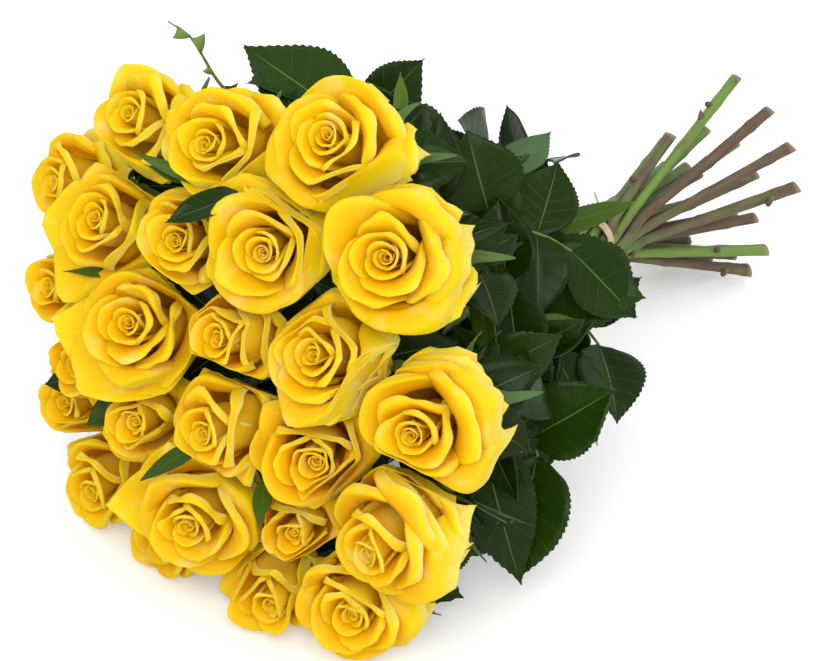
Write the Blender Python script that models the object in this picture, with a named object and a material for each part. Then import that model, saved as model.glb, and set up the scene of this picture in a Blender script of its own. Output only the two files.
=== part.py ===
"""A hand-tied bouquet of twenty-five yellow roses, lying on its side on a flat surface.

The bouquet has its own frame: `along` runs up its axis from the tie towards the blooms, `across` is
level, and `up` is square to both. The axis rises by LEAN from the tie to the blooms, because the dome
of blooms is wider than the fan of cut ends and the bouquet rests on both. The row frame has +X from
the blooms to the cut ends and +Z up, with its origin under the middle of the whole bouquet.
"""

import math

import bmesh
import bpy
import numpy as np
from mathutils import Matrix, Vector

# Lengths are in metres. Angles are in degrees where they are written and radians once read.

# The bouquet as a whole.
LEAN = math.radians(11)
TIE_HEIGHT = 0.071
DOME_REACH = 0.365  # tie to the middle of the bloom on the axis
DOME_CURVE = 0.28  # radius of the sphere that the middles of the blooms lie on

# A bloom, as shares of its width.
BLOOM_LENGTH = 0.88
# Share of the length, share of the radius at a petal's middle and between petals, part of a turn.
BLOOM_PROFILE = (
    # the five outer petals, up to their lips
    (0.00, 0.17, 0.17, 0.0),
    (0.07, 0.52, 0.48, 0.0),
    (0.26, 0.84, 0.76, 0.0),
    (0.52, 1.00, 0.90, 0.0),
    (0.76, 0.98, 0.82, 0.0),
    (0.84, 0.80, 0.70, 0.0),
    # the inner petals, standing between them
    (0.76, 0.64, 0.60, 0.5),
    (0.95, 0.52, 0.44, 0.5),
    (0.97, 0.34, 0.28, 0.5),
    # the bud
    (0.88, 0.22, 0.20, 1.0),
    (1.00, 0.10, 0.09, 1.0),
)
SQUEEZE = 0.86  # how near neighbours stand, as a share of where their whole widths would touch
BLOOM_MIDDLE = 0.5
PRESS_GAP = 0.0005
PRESS_FREE = 0.7  # share of the way to a neighbour that its pressing leaves alone
GOLDEN_ANGLE = math.radians(137.5)  # turn from each bloom to the next
SEAT_GAP = 0.0003

# A stem. Its foot is the cut end and its neck is under the bloom.
FOOT_RADIUS = 0.0036
NECK_RADIUS = 0.0025
NECK_LENGTH = 0.020
HIP_RADIUS = 0.0052
HIP_LENGTH = 0.009
HIP_PROFILE = ((0.35, HIP_RADIUS * 0.82), (0.75, HIP_RADIUS))  # share of its length, radius
STEM_SIDES = 7
STEM_STATIONS = (-0.1, -0.06, -0.03, -0.01, 0.01, 0.03, 0.06, 0.1, 0.14, 0.19, 0.24)
STEM_GAP = 0.00078
CROSSING = 1.04  # how much farther apart the middles of crossing stems lie than their radii ask
TAIL_FLARE = 1.08  # how much faster the stems spread below the tie than above it
TAIL_CROSSING = 1.075  # and the same beyond the tie, where they spread more steeply
TAIL_RISE = 1.65  # beyond the tie, how much steeper the stems rise that rise at all
TAIL_FAR = 0.5  # and the share of their reach that those on the far side keep
KNOT_SWELL = 1.16
KNOT_SPACING = 0.018
CUT_SLANT = math.tan(math.radians(24))

# The bundle at the tie. Each stem crosses the axis there, so that the bundle is a spiral.
BUNDLE_RADIUS = 0.018
SPIRAL = math.radians(78)

# The sepals under each bloom.
SEPALS = 5
SEPAL_REACH = 0.021
SEPAL_NOTCH = 0.0060
SEPAL_DROP = 0.006
SEPAL_THICKNESS = 0.0008

# The raffia tie.
TIE_ALONG = 0.012
TIE_WIDTH = 0.0070
TIE_THICKNESS = 0.0022
TIE_SECTION = ((0.0, -0.5), (0.0, 0.5), (0.75, 0.4), (1.0, 0.0), (0.75, -0.4))  # out, along
TIE_POINTS = 40
TIE_SLANT = 1.05  # how much farther a slanting stem reaches than its radius

# A compound leaf: a rachis with a leaflet at its end and pairs of leaflets below it.
RACHIS_WIDTH = 0.0026
LEAF_THICKNESS = 0.0009
LEAF_LEAD = 0.4  # how far the rachis holds its first direction, as a share of the leaf's reach
SHORTEST_RACHIS = 0.15  # as a share of the leaf's curve
BOW_STEP = 0.01
LEAFLET_FOLD = 0.22
LEAFLET_CURL = 0.10
LEAFLET_ROWS = ((0.22, 0.74), (0.48, 1.0), (0.78, 0.62))  # share of length, share of half width
LEAFLET_SHAPE = 0.37  # half width as a share of length
PAIR_TURN = math.radians(80)
PAIR_SIZE = 0.84  # a side leaflet's share of the end leaflet's length
PAIR_LESS = 0.14  # how much smaller each next pair is
FACE_FORWARD = 0.5  # how far a leaf faces the blooms rather than outwards
FACE_LIGHT = 1.0  # how far it faces the light

# Each rose: how far its bloom stands off the bouquet's axis and where around it, counted from the
# far side over the top; the width of its bloom; how far its cut end lies beyond the tie; and how far
# its head is turned off the line of its stem, to the far side and upwards.
ROSES = (
    # the middle of the dome
    (4, 188, 0.060, 0.130, 8, 8),
    (6, 122, 0.054, 0.126, 3, 10),
    (8, 15, 0.062, 0.140, -18, 20),
    (9, 318, 0.046, 0.148, -18, 16),
    (11, 188, 0.060, 0.122, -20, 8),
    # the ring round it
    (12, 267, 0.068, 0.136, -20, 2),
    (12, 73, 0.057, 0.118, -22, 8),
    (13, 106, 0.067, 0.134, -16, -3),
    (14, 225, 0.045, 0.122, -16, 14),
    (15, 151, 0.067, 0.136, 10, 14),
    (17, 347, 0.050, 0.128, -18, 12),
    (17, 30, 0.058, 0.132, -18, 14),
    # the rim
    (19, 247, 0.056, 0.142, -12, 9),
    (20, 199, 0.073, 0.104, 20, -6),
    (20, 173, 0.071, 0.128, 3, 5),
    (20, 133, 0.073, 0.132, 0, 0),
    (20, 80, 0.062, 0.124, -14, 1),
    (21, 0, 0.050, 0.134, -12, 14),
    (22, 224, 0.066, 0.078, 0, 10),
    (23, 331, 0.050, 0.134, -22, 16),
    (23, 111, 0.071, 0.128, 2, 3),
    (23, 53, 0.058, 0.128, -12, 4),
    (24, 312, 0.058, 0.128, -20, 12),
    (21, 286, 0.056, 0.140, -10, 5),
    (26, 22, 0.056, 0.128, -8, 0),
)

# Each leaf: the rose whose stem bears it and how far along from the tie; where its tip reaches, as the
# distance along the bouquet, off its axis and around it; the length of its end leaflet; the turn of
# its face; and its pairs of side leaflets.
LEAVES = (
    (17, 0.215, 0.300, 0.150, 76, 0.068, 0, 1),
    (21, 0.170, 0.208, 0.134, 104, 0.056, 0, 1),
    (21, 0.110, 0.152, 0.118, 119, 0.053, 0, 1),
    (16, 0.205, 0.150, 0.132, 158, 0.056, 0, 1),
    (15, 0.155, 0.185, 0.152, 186, 0.054, 0, 1),
    (14, 0.228, 0.262, 0.168, 214, 0.068, 50, 1),
    (15, 0.222, 0.276, 0.142, 174, 0.050, 0, 1),
    (19, 0.200, 0.252, 0.125, 228, 0.054, 0, 1),
    (18, 0.180, 0.205, 0.150, 5, 0.058, 0, 1),
)

COLOURS = {
    "petal": ((0.95, 0.66, 0.02), 0.55),
    "stem": ((0.20, 0.27, 0.07), 0.50),
    "leaf": ((0.02, 0.09, 0.02), 0.38),
    "raffia": ((0.55, 0.43, 0.27), 0.80),
}

AXIS = np.array((-math.cos(LEAN), 0.0, math.sin(LEAN)))
ACROSS = np.array((0.0, 1.0, 0.0))
UP = np.array((math.sin(LEAN), 0.0, math.cos(LEAN)))
TIE_CENTRE = np.array((0.0, 0.0, TIE_HEIGHT))  # where the stems cross
LIGHT = np.array((-0.66, -0.53, 0.53))  # the way the light came from that the leaves turned to

# Settling: blooms and stems are eased apart a little at a time, and the last turns only part them.
BLOOM_TURNS = 900
BLOOM_PUSH = 0.25
HOME_PULL = 0.05
HOME_TURNS = 0.7  # share of the turns in which a bloom is drawn to its own place
STEM_TURNS = 700
STEM_PUSH = 0.3
STEM_SMOOTHING = 0.45
SMOOTH_TURNS = 640
WAIST_PULL = 0.05
WAIST_SPREAD = 0.02
FINE_STEP = 0.01
FINE_FROM = -0.17
FINE_TO = 0.27


def unit(v):
    return v / np.linalg.norm(v)


def place(along, lateral):
    """The point this far along the bouquet's axis from the tie, and this far (across, up) off it."""
    return TIE_CENTRE + along * AXIS + lateral[0] * ACROSS + lateral[1] * UP


def lowest_up(along, clearance):
    """How far down the `up` axis a middle may lie, here, for its surface to stay off the floor."""
    return (clearance - TIE_HEIGHT - along * math.sin(LEAN)) / math.cos(LEAN)


# --- where the blooms and stems lie ---------------------------------------------------------------


def settle_blooms():
    """The middle of each bloom as (along, across, up), eased apart until neighbours only just touch."""
    tilt, around, width = np.array([rose[:3] for rose in ROSES]).T
    tilt, around, radius = np.radians(tilt), np.radians(around), width / 2
    # The place on the dome that lies this many degrees off the axis, seen from the tie.
    far = DOME_REACH - DOME_CURVE
    home_reach = far * np.cos(tilt) + np.sqrt(DOME_CURVE**2 - (far * np.sin(tilt)) ** 2)
    off_axis = home_reach * np.sin(tilt)
    home = np.column_stack(
        (home_reach * np.cos(tilt), off_axis * np.cos(around), off_axis * np.sin(around))
    )
    need = (radius[:, None] + radius[None, :]) * SQUEEZE
    others = 1 - np.eye(len(ROSES))
    middles = home.copy()
    for turn in range(BLOOM_TURNS):
        apart = middles[:, None] - middles[None, :]
        distance = np.linalg.norm(apart, axis=2) + np.eye(len(ROSES))
        short = np.clip(need - distance, 0, None) * others
        middles += (apart / distance[..., None] * short[..., None]).sum(axis=1) * BLOOM_PUSH
        if turn < HOME_TURNS * BLOOM_TURNS:
            middles += HOME_PULL * (home - middles)
        middles[:, 2] = np.maximum(middles[:, 2], lowest_up(middles[:, 0], radius * SQUEEZE))
    return middles


def settle_stems(bends, bends_along):
    """Each stem's lateral place at every fine station, from straight lines that cross at the tie.

    Stems that would run into each other are eased apart, and each is kept smooth and off the floor.
    """
    fine = np.arange(FINE_FROM, FINE_TO + FINE_STEP / 2, FINE_STEP)
    rank = np.argsort(np.argsort(np.linalg.norm(bends, axis=1)))
    waist_radius = BUNDLE_RADIUS * np.sqrt((rank + 0.5) / len(bends))
    waist_turn = np.arctan2(bends[:, 1], bends[:, 0]) - SPIRAL
    waist = waist_radius[:, None] * np.stack((np.cos(waist_turn), np.sin(waist_turn)), axis=1)
    share = fine[None, :, None] / bends_along[:, None, None]
    share = np.where(share < 0, share * TAIL_FLARE, share)
    reach = (bends - waist)[:, None, :] * share
    tail = (share < 0) & (reach > 0)
    reach *= np.where(tail, (TAIL_FAR, TAIL_RISE), 1)
    paths = waist[:, None, :] + reach
    straight = paths.copy()
    radii = stem_radius(fine)
    need = np.where(fine < 0, TAIL_CROSSING, CROSSING) * 2 * radii + STEM_GAP
    floor = lowest_up(fine, radii)
    waist_pull = WAIST_PULL * np.exp(-((fine / WAIST_SPREAD) ** 2))[None, :, None]
    others = (1 - np.eye(len(bends)))[:, :, None]
    for turn in range(STEM_TURNS):
        if turn < SMOOTH_TURNS:
            middle = (paths[:, :-2] + paths[:, 2:]) / 2
            paths[:, 1:-1] += STEM_SMOOTHING * (middle - paths[:, 1:-1])
            for end in (slice(None, 3), slice(-3, None)):
                paths[:, end] += (straight[:, end] - paths[:, end]) / 2
            paths -= waist_pull * paths
        apart = paths[:, None] - paths[None, :]
        distance = np.linalg.norm(apart, axis=3) + 1e-9
        short = np.clip(need - distance, 0, None) * others
        paths += (apart / distance[..., None] * short[..., None]).sum(axis=1) * STEM_PUSH
        paths[:, :, 1] = np.maximum(paths[:, :, 1], floor)
    return fine, paths


def stem_radius(along):
    """A stem tapers from its foot to its neck."""
    share = np.clip((np.asarray(along) - FINE_FROM) / (FINE_TO - FINE_FROM), 0, 1)
    return FOOT_RADIUS + (NECK_RADIUS - FOOT_RADIUS) * share


# --- mesh helpers ---------------------------------------------------------------------------------


def new_object(name, mesh_maker, colour):
    """An object with its own material, whose mesh the maker fills in."""
    mesh = bpy.data.meshes.new(name)
    bm = bmesh.new()
    mesh_maker(bm)
    bmesh.ops.recalc_face_normals(bm, faces=bm.faces)
    bm.to_mesh(mesh)
    bm.free()
    rgb, roughness = COLOURS[colour]
    material = bpy.data.materials.new(name)
    material.use_nodes = True
    shader = material.node_tree.nodes["Principled BSDF"]
    shader.inputs["Base Color"].default_value = (*rgb, 1)
    shader.inputs["Roughness"].default_value = roughness
    mesh.materials.append(material)
    obj = bpy.data.objects.new(name, mesh)
    bpy.context.scene.collection.objects.link(obj)
    return obj


def frame_about(direction):
    """Two directions square to this one and to each other, the first as near to +Z as it can be."""
    side = np.cross(direction, (0, 0, 1))
    side = unit(side) if np.linalg.norm(side) > 1e-6 else np.array((1.0, 0, 0))
    return np.cross(side, direction), side


def add_ring(bm, centre, first, second, radii, turn=0.0):
    """A ring of vertices in the plane of two directions, with one radius for each vertex."""
    count = len(radii)
    ring = []
    for k, radius in enumerate(radii):
        angle = turn + math.tau * k / count
        ring.append(bm.verts.new(centre + radius * (math.cos(angle) * first + math.sin(angle) * second)))
    return ring


def bridge(bm, ring, following):
    """Quads between two rings with the same number of vertices."""
    count = len(ring)
    for k in range(count):
        after = (k + 1) % count
        bm.faces.new((ring[k], ring[after], following[after], following[k]))


def bridge_unequal(bm, ring, following):
    """Triangles between two rings with different numbers of vertices, each starting at angle 0."""
    i, j = 0, 0
    while i < len(ring) or j < len(following):
        if j == len(following) or (i < len(ring) and (i + 1) / len(ring) <= (j + 1) / len(following)):
            bm.faces.new((ring[i], ring[(i + 1) % len(ring)], following[j % len(following)]))
            i += 1
        else:
            bm.faces.new((ring[i % len(ring)], following[(j + 1) % len(following)], following[j]))
            j += 1


def press(point, own, neighbours):
    """Where a point of a bloom goes once its neighbours press on it.

    Each neighbour is a direction and how far off, that way, lies the plane where the two blooms meet.
    """
    for _ in range(3):
        for direction, limit in neighbours:
            free = PRESS_FREE * limit
            past = (point - own) @ direction - free
            if past > 0:
                give = limit - free
                point = point + direction * (give * math.tanh(past / give) - past)
    for direction, limit in neighbours:
        past = (point - own) @ direction - limit
        if past > 0:
            point = point - direction * past
    return point


def press_planes(index, middles, widths):
    """The planes that press on a bloom: those between it and each near neighbour, and the floor."""
    planes = [(np.array((0, 0, -1.0)), middles[index][2])]
    for other, middle in enumerate(middles):
        apart = middle - middles[index]
        distance = np.linalg.norm(apart)
        if other != index and distance < widths[index] + widths[other]:
            share = widths[index] / (widths[index] + widths[other])
            planes.append((apart / distance, distance * share - PRESS_GAP / 2))
    return planes


# --- the pieces -----------------------------------------------------------------------------------


def bloom_mesh(base, direction, width, turn, middle, planes):
    """A bloom: a cup of five outer petals, a whorl of inner ones and the bud in the middle."""
    radius, length = width / 2, width * BLOOM_LENGTH
    up, side = frame_about(direction)
    def make(bm):
        rings = []
        for height, petal, between, shift in BLOOM_PROFILE:
            centre = base + direction * length * height
            radii = [radius * (petal if k % 2 == 0 else between) for k in range(10)]
            rings.append(add_ring(bm, centre, up, side, radii, turn + shift * math.tau / 10))
        for vert in bm.verts:
            vert.co = Vector(press(np.array(vert.co), middle, planes))
        for ring, following in zip(rings, rings[1:]):
            bridge(bm, ring, following)
        bm.faces.new(rings[0])
        bm.faces.new(rings[-1])

    return make


def stem_mesh(points, radii, neck, direction, middle, planes):
    """A stem: a tapering tube from its slanting cut end to the hip, and the ring of sepals on top."""

    def make(bm):
        tangents = [unit(after - before) for before, after in zip(points[:-2], points[2:])]
        tangents = [unit(points[1] - points[0]), *tangents, direction]
        rings = []
        for point, tangent, radius in zip(points, tangents, radii):
            up, side = frame_about(tangent)
            rings.append(add_ring(bm, point, up, side, [radius] * STEM_SIDES))
        cut_up, _ = frame_about(tangents[0])
        for vert in rings[0]:
            off = (np.array(vert.co) - points[0]) @ cut_up
            vert.co = Vector(np.array(vert.co) + tangents[0] * off * CUT_SLANT)
        up, side = frame_about(direction)
        for share, radius in HIP_PROFILE:
            centre = neck + direction * HIP_LENGTH * share
            rings.append(add_ring(bm, centre, up, side, [radius] * STEM_SIDES))
        for ring, following in zip(rings, rings[1:]):
            bridge(bm, ring, following)
        bm.faces.new(rings[0])
        add_sepals(bm, rings[-1], neck, direction, up, side)
        for vert in bm.verts:
            if (np.array(vert.co) - neck) @ direction > 0:
                vert.co = Vector(press(np.array(vert.co), middle, planes))

    return make


def add_sepals(bm, hip, neck, direction, up, side):
    """The star of sepals that closes the stem under the bloom, with its tips turned down."""
    top = neck + direction * HIP_LENGTH
    # Each ring of the star: how far out its points and its notches are, and how far they hang down.
    star = []
    for tip, notch, tip_drop, notch_drop in (
        (SEPAL_REACH / 2, SEPAL_NOTCH * 0.9, 0.0024, 0.0016),
        (SEPAL_REACH, SEPAL_NOTCH, SEPAL_DROP, 0.0016),
        (SEPAL_REACH / 2, SEPAL_NOTCH * 0.9, 0.0024 - 2 * SEPAL_THICKNESS, SEPAL_THICKNESS / 2),
    ):
        ring = add_ring(bm, top, up, side, [tip, notch] * SEPALS)
        for k, vert in enumerate(ring):
            fall = tip_drop if k % 2 == 0 else notch_drop
            vert.co = Vector(np.array(vert.co) - direction * fall)
        star.append(ring)
    seat = add_ring(bm, top, up, side, [HIP_RADIUS * 0.9] * (2 * SEPALS))
    bridge_unequal(bm, hip, star[0])
    for ring, following in zip(star, [*star[1:], seat]):
        bridge(bm, ring, following)
    bm.faces.new(seat)


def tie_mesh(fine, paths):
    """The raffia wound round the bundle: a flat band that follows the outermost stems."""
    edges = TIE_ALONG + TIE_WIDTH * np.array((-0.5, 0, 0.5))
    centres = np.array([[np.interp(edges, fine, path[:, k]) for k in (0, 1)] for path in paths])
    centres = centres.transpose(0, 2, 1).reshape(-1, 2)
    reach = float(stem_radius(TIE_ALONG)) * TIE_SLANT + SEAT_GAP

    def make(bm):
        loops = []
        for k in range(TIE_POINTS):
            angle = math.tau * k / TIE_POINTS
            outward = np.array((math.cos(angle), math.sin(angle)))
            touch = centres[int(np.argmax(centres @ outward))] + outward * reach
            loop = []
            for out, wide in TIE_SECTION:
                lateral = touch + outward * out * TIE_THICKNESS
                loop.append(bm.verts.new(place(TIE_ALONG + wide * TIE_WIDTH, lateral)))
            loops.append(loop)
        for loop, following in zip(loops, [*loops[1:], loops[0]]):
            bridge(bm, loop, following)

    return make


def add_leaflet(bm, base_edge, origin, forward, normal, length):
    """One leaflet as a sheet, folded up along its midrib and curled down to its tip."""
    side = np.cross(normal, forward)

    def spot(share, half_width):
        lift = LEAFLET_FOLD * abs(half_width) - LEAFLET_CURL * length * share**2
        return bm.verts.new(origin + forward * length * share + side * half_width + normal * lift)

    rows = []
    for share, wide in LEAFLET_ROWS:
        half = wide * LEAFLET_SHAPE * length
        rows.append([spot(share, half), spot(share, 0), spot(share, -half)])
    tip = spot(1, 0)
    left, right = base_edge
    first = rows[0]
    bm.faces.new((left, first[0], first[1]))
    bm.faces.new((left, first[1], right))
    bm.faces.new((right, first[1], first[2]))
    for row, following in zip(rows, rows[1:]):
        for k in range(2):
            bm.faces.new((row[k], following[k], following[k + 1], row[k + 1]))
    for k in range(2):
        bm.faces.new((rows[-1][k], tip, rows[-1][k + 1]))


def bow(root, elbow, tip, share):
    """A point on the curve from root to tip that sets out towards the elbow."""
    return (1 - share) ** 2 * root + 2 * share * (1 - share) * elbow + share**2 * tip


def leaf_frames(root, lead, tip, face, blade, steps):
    """Points and frames along a rachis that leaves its stem one way and bends over to its tip."""
    reach = np.linalg.norm(tip - root)
    elbow = root + lead * reach * LEAF_LEAD
    end = 1.0
    while end > SHORTEST_RACHIS and np.linalg.norm(tip - bow(root, elbow, tip, end)) < blade:
        end -= BOW_STEP
    frames = []
    for share in np.linspace(0, end, steps + 1):
        point = bow(root, elbow, tip, share)
        onward = tip if share == end else bow(root, elbow, tip, share + BOW_STEP)
        forward = unit(onward - point)
        side = unit(np.cross(face, forward))
        frames.append((point, forward, np.cross(forward, side)))
    return frames


def leaf_mesh(root, lead, tip, face, blade, pairs):
    """A compound leaf as one sheet: the rachis, its pairs of leaflets and the one at its end."""
    steps = 2 * pairs + 2
    frames = leaf_frames(root, lead, tip, face, blade, steps)

    def make(bm):
        edges = []
        for point, forward, normal in frames:
            half = np.cross(normal, forward) * RACHIS_WIDTH / 2
            edges.append((bm.verts.new(point + half), bm.verts.new(point - half)))
        for (left, right), (left_on, right_on) in zip(edges, edges[1:]):
            bm.faces.new((left, left_on, right_on, right))
        for pair in range(pairs):
            k = steps - 2 - 2 * pair
            point, forward, normal = frames[k]
            onward = frames[k + 1][0]
            side = np.cross(normal, forward)
            size = blade * (PAIR_SIZE - PAIR_LESS * pair)
            for sign, column in ((1, 0), (-1, 1)):
                heading = math.cos(PAIR_TURN) * forward + sign * math.sin(PAIR_TURN) * side
                origin = (point + onward) / 2 + sign * side * RACHIS_WIDTH / 2
                pair_edge = (edges[k][column], edges[k + 1][column])
                ordered = pair_edge if sign == 1 else pair_edge[::-1]
                add_leaflet(bm, ordered, origin, heading, normal, size)
        point, forward, normal = frames[-1]
        add_leaflet(bm, edges[-1], point, forward, normal, blade)

    return make


# --- putting the bouquet together -----------------------------------------------------------------


def thicken(obj):
    solid = obj.modifiers.new("thickness", "SOLIDIFY")
    solid.thickness = LEAF_THICKNESS
    solid.offset = 0
    solid.use_even_offset = False


def stem_line(index, fine, paths, bend, neck, cut):
    """The points of a stem's middle line from its cut end to its neck, and its radius at each."""
    stations = [-cut, *[s for s in STEM_STATIONS if s > KNOT_SPACING - cut]]
    points = []
    for station in stations:
        lateral = [np.interp(station, fine, paths[index, :, k]) for k in (0, 1)]
        points.append(place(station, lateral))
    radii = list(stem_radius(np.array(stations)))
    radii[1] *= KNOT_SWELL if index % 2 else 1.0
    points.extend((bend, neck))
    radii.extend((NECK_RADIUS, NECK_RADIUS))
    return points, radii


def head_direction(middle, far_turn, up_turn):
    """The way a bloom faces: along its stem, turned by degrees to the far side and upwards."""
    stem = unit(middle - TIE_CENTRE)
    heading = math.atan2(stem[1], -stem[0]) + math.radians(far_turn)
    pitch = math.asin(stem[2]) + math.radians(up_turn)
    flat = math.cos(pitch)
    return np.array((-flat * math.cos(heading), flat * math.sin(heading), math.sin(pitch)))


def in_bouquet_frame(point):
    """A point as (along, across, up)."""
    return np.array((AXIS, ACROSS, UP)) @ (point - TIE_CENTRE)


def add_leaves(fine, paths):
    """Every leaf, each rooted just off the surface of its stem."""
    pieces = []
    for number, (rose, station, along, off_axis, around, blade, twist, pairs) in enumerate(LEAVES):
        lateral = np.array([np.interp(station, fine, paths[rose - 1, :, k]) for k in (0, 1)])
        onward = station + FINE_STEP
        ahead = np.array([np.interp(onward, fine, paths[rose - 1, :, k]) for k in (0, 1)])
        middle = place(station, lateral)
        along_stem = unit(place(onward, ahead) - middle)
        outward = lateral[0] * ACROSS + lateral[1] * UP
        outward = unit(outward - (outward @ along_stem) * along_stem)
        root = middle + outward * (float(stem_radius(station)) + SEAT_GAP + LEAF_THICKNESS / 2)
        around = math.radians(around)
        tip = place(along, off_axis * np.array((math.cos(around), math.sin(around))))
        face = unit(outward + FACE_FORWARD * AXIS + FACE_LIGHT * LIGHT)
        face = np.array(Matrix.Rotation(math.radians(twist), 3, Vector(tip - root)) @ Vector(face))
        leaf = leaf_mesh(root, outward, tip, face, blade, pairs)
        pieces.append(new_object(f"leaf_{number + 1:02d}", leaf, "leaf"))
        thicken(pieces[-1])
    return pieces


def build():
    for old in list(bpy.data.objects):
        bpy.data.objects.remove(old)
    middles = [place(along, (across, up)) for along, across, up in settle_blooms()]
    directions = [head_direction(m, *rose[4:]) for m, rose in zip(middles, ROSES)]
    widths = [rose[2] for rose in ROSES]
    bases = [m - d * w * BLOOM_LENGTH * BLOOM_MIDDLE for m, d, w in zip(middles, directions, widths)]
    necks = [b - d * (HIP_LENGTH + SEAT_GAP) for b, d in zip(bases, directions)]
    bends = [n - d * NECK_LENGTH for n, d in zip(necks, directions)]
    bend_places = np.array([in_bouquet_frame(bend) for bend in bends])
    fine, paths = settle_stems(bend_places[:, 1:], bend_places[:, 0])

    pieces = []
    for k, (base, direction, neck) in enumerate(zip(bases, directions, necks)):
        turn = GOLDEN_ANGLE * k
        planes = press_planes(k, middles, widths)
        bloom = bloom_mesh(base, direction, widths[k], turn, middles[k], planes)
        pieces.append(new_object(f"bloom_{k + 1:02d}", bloom, "petal"))
        points, radii = stem_line(k, fine, paths, bends[k], neck, ROSES[k][3])
        stem = stem_mesh(points, radii, neck, direction, middles[k], planes)
        pieces.append(new_object(f"stem_{k + 1:02d}", stem, "stem"))
    pieces.append(new_object("raffia_tie", tie_mesh(fine, paths), "raffia"))
    pieces.extend(add_leaves(fine, paths))
    rest_on_origin(pieces)


def rest_on_origin(pieces):
    """Shifts every piece so that the bouquet's box stands on the origin."""
    bpy.context.view_layer.update()
    graph = bpy.context.evaluated_depsgraph_get()
    corners = [v.co for piece in pieces for v in piece.evaluated_get(graph).data.vertices]
    points = np.array(corners)
    low, high = points.min(axis=0), points.max(axis=0)
    shift = Matrix.Translation((-(low[0] + high[0]) / 2, -(low[1] + high[1]) / 2, -low[2]))
    for piece in pieces:
        piece.matrix_world = shift


build()
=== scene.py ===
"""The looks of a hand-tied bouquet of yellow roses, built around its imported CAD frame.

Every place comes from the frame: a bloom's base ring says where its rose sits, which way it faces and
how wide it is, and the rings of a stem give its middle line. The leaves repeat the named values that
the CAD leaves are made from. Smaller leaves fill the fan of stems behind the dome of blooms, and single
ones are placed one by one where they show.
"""

import math

import bpy
import numpy as np
from mathutils import Matrix, Vector


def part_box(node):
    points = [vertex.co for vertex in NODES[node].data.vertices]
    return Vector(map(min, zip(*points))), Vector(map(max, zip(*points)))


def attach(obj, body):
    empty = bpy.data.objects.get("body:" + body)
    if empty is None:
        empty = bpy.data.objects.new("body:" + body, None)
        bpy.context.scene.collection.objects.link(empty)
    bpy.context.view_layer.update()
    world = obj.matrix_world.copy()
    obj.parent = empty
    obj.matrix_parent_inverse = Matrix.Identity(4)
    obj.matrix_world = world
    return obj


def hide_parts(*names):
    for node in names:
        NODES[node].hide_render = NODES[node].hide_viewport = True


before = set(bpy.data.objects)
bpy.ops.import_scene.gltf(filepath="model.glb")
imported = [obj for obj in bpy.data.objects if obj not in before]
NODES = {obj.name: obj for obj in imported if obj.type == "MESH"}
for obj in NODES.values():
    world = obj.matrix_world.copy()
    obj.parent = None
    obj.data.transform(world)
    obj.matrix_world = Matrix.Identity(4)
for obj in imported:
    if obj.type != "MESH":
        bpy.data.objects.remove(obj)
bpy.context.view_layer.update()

# Lengths are in metres unless a name says otherwise.

# --- the bouquet's own frame ---
LEAN = math.radians(11)
AXIS = np.array((-math.cos(LEAN), 0.0, math.sin(LEAN)))
ACROSS = np.array((0.0, 1.0, 0.0))
UP = np.array((math.sin(LEAN), 0.0, math.cos(LEAN)))
TIE_ALONG = 0.012  # how far in front of the stems' crossing the middle of the tie is
ROSE_COUNT = 25
GOLDEN_ANGLE = math.radians(137.5)

# --- the camera's view ---
CAMERA_AZIMUTH = math.radians(-51)
CAMERA_ELEVATION = math.radians(32)
CAMERA_DISTANCE = 1.25
CAMERA_LENS = 94.8
SENSOR_WIDTH = 36
AIM_SHIFT = np.array((-0.197, -0.003, 0.03))  # from the middle of the tie to what the camera aims at
AIM_RIGHT = 0.0104  # and then how far to the right and up, as the camera sees it
AIM_UP = -0.0005
VIEW_RIGHT = np.array((math.cos(CAMERA_AZIMUTH), math.sin(CAMERA_AZIMUTH), 0.0))
VIEW_BACK = np.array(
    (
        math.sin(CAMERA_AZIMUTH) * math.cos(CAMERA_ELEVATION),
        -math.cos(CAMERA_AZIMUTH) * math.cos(CAMERA_ELEVATION),
        math.sin(CAMERA_ELEVATION),
    )
)
VIEW_UP = np.cross(VIEW_BACK, VIEW_RIGHT)

# --- blooms ---
BASE_SHARE = 0.17  # radius of a bloom's base ring, as a share of the bloom's own
BASE_RING = 10  # vertices in that ring
PRESS_GAP = 0.0008  # between neighbours that press on each other
PRESS_FREE = 0.75  # share of the room up to a neighbour in which a petal isn't pressed
PRESS_LEAST = 0.2  # the least share of that room that an inset leaves
PRESS_ROUNDS = 3
GATHER_FREE = 0.82  # share of the bloom's radius in which a petal isn't drawn in
GATHER_GIVE = 0.22  # how much farther than that it can reach
PRESS_INSET = 0.14  # how far short of a neighbour the heart stops, as a share of the bloom's radius
PRESS_WAVE = 0.018  # and how far short the waves of each petal do
OVERLAP = 0.45  # how far the wider of two blooms leans over the other one in front
PETAL_THICKNESS = 0.00045
RIM_THINNING = 0.8  # the share of its thickness that a petal has lost at its rim
RIM_START = 0.985  # where the last, narrow row of a petal's faces starts
PETAL_COLUMNS = (14, 26)  # points across the coarsest and the finest petal
PETAL_ROWS = (8, 13)
PETAL_FOOT = 0.10  # how far off the bloom's middle a petal starts, as a share of its radius
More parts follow.
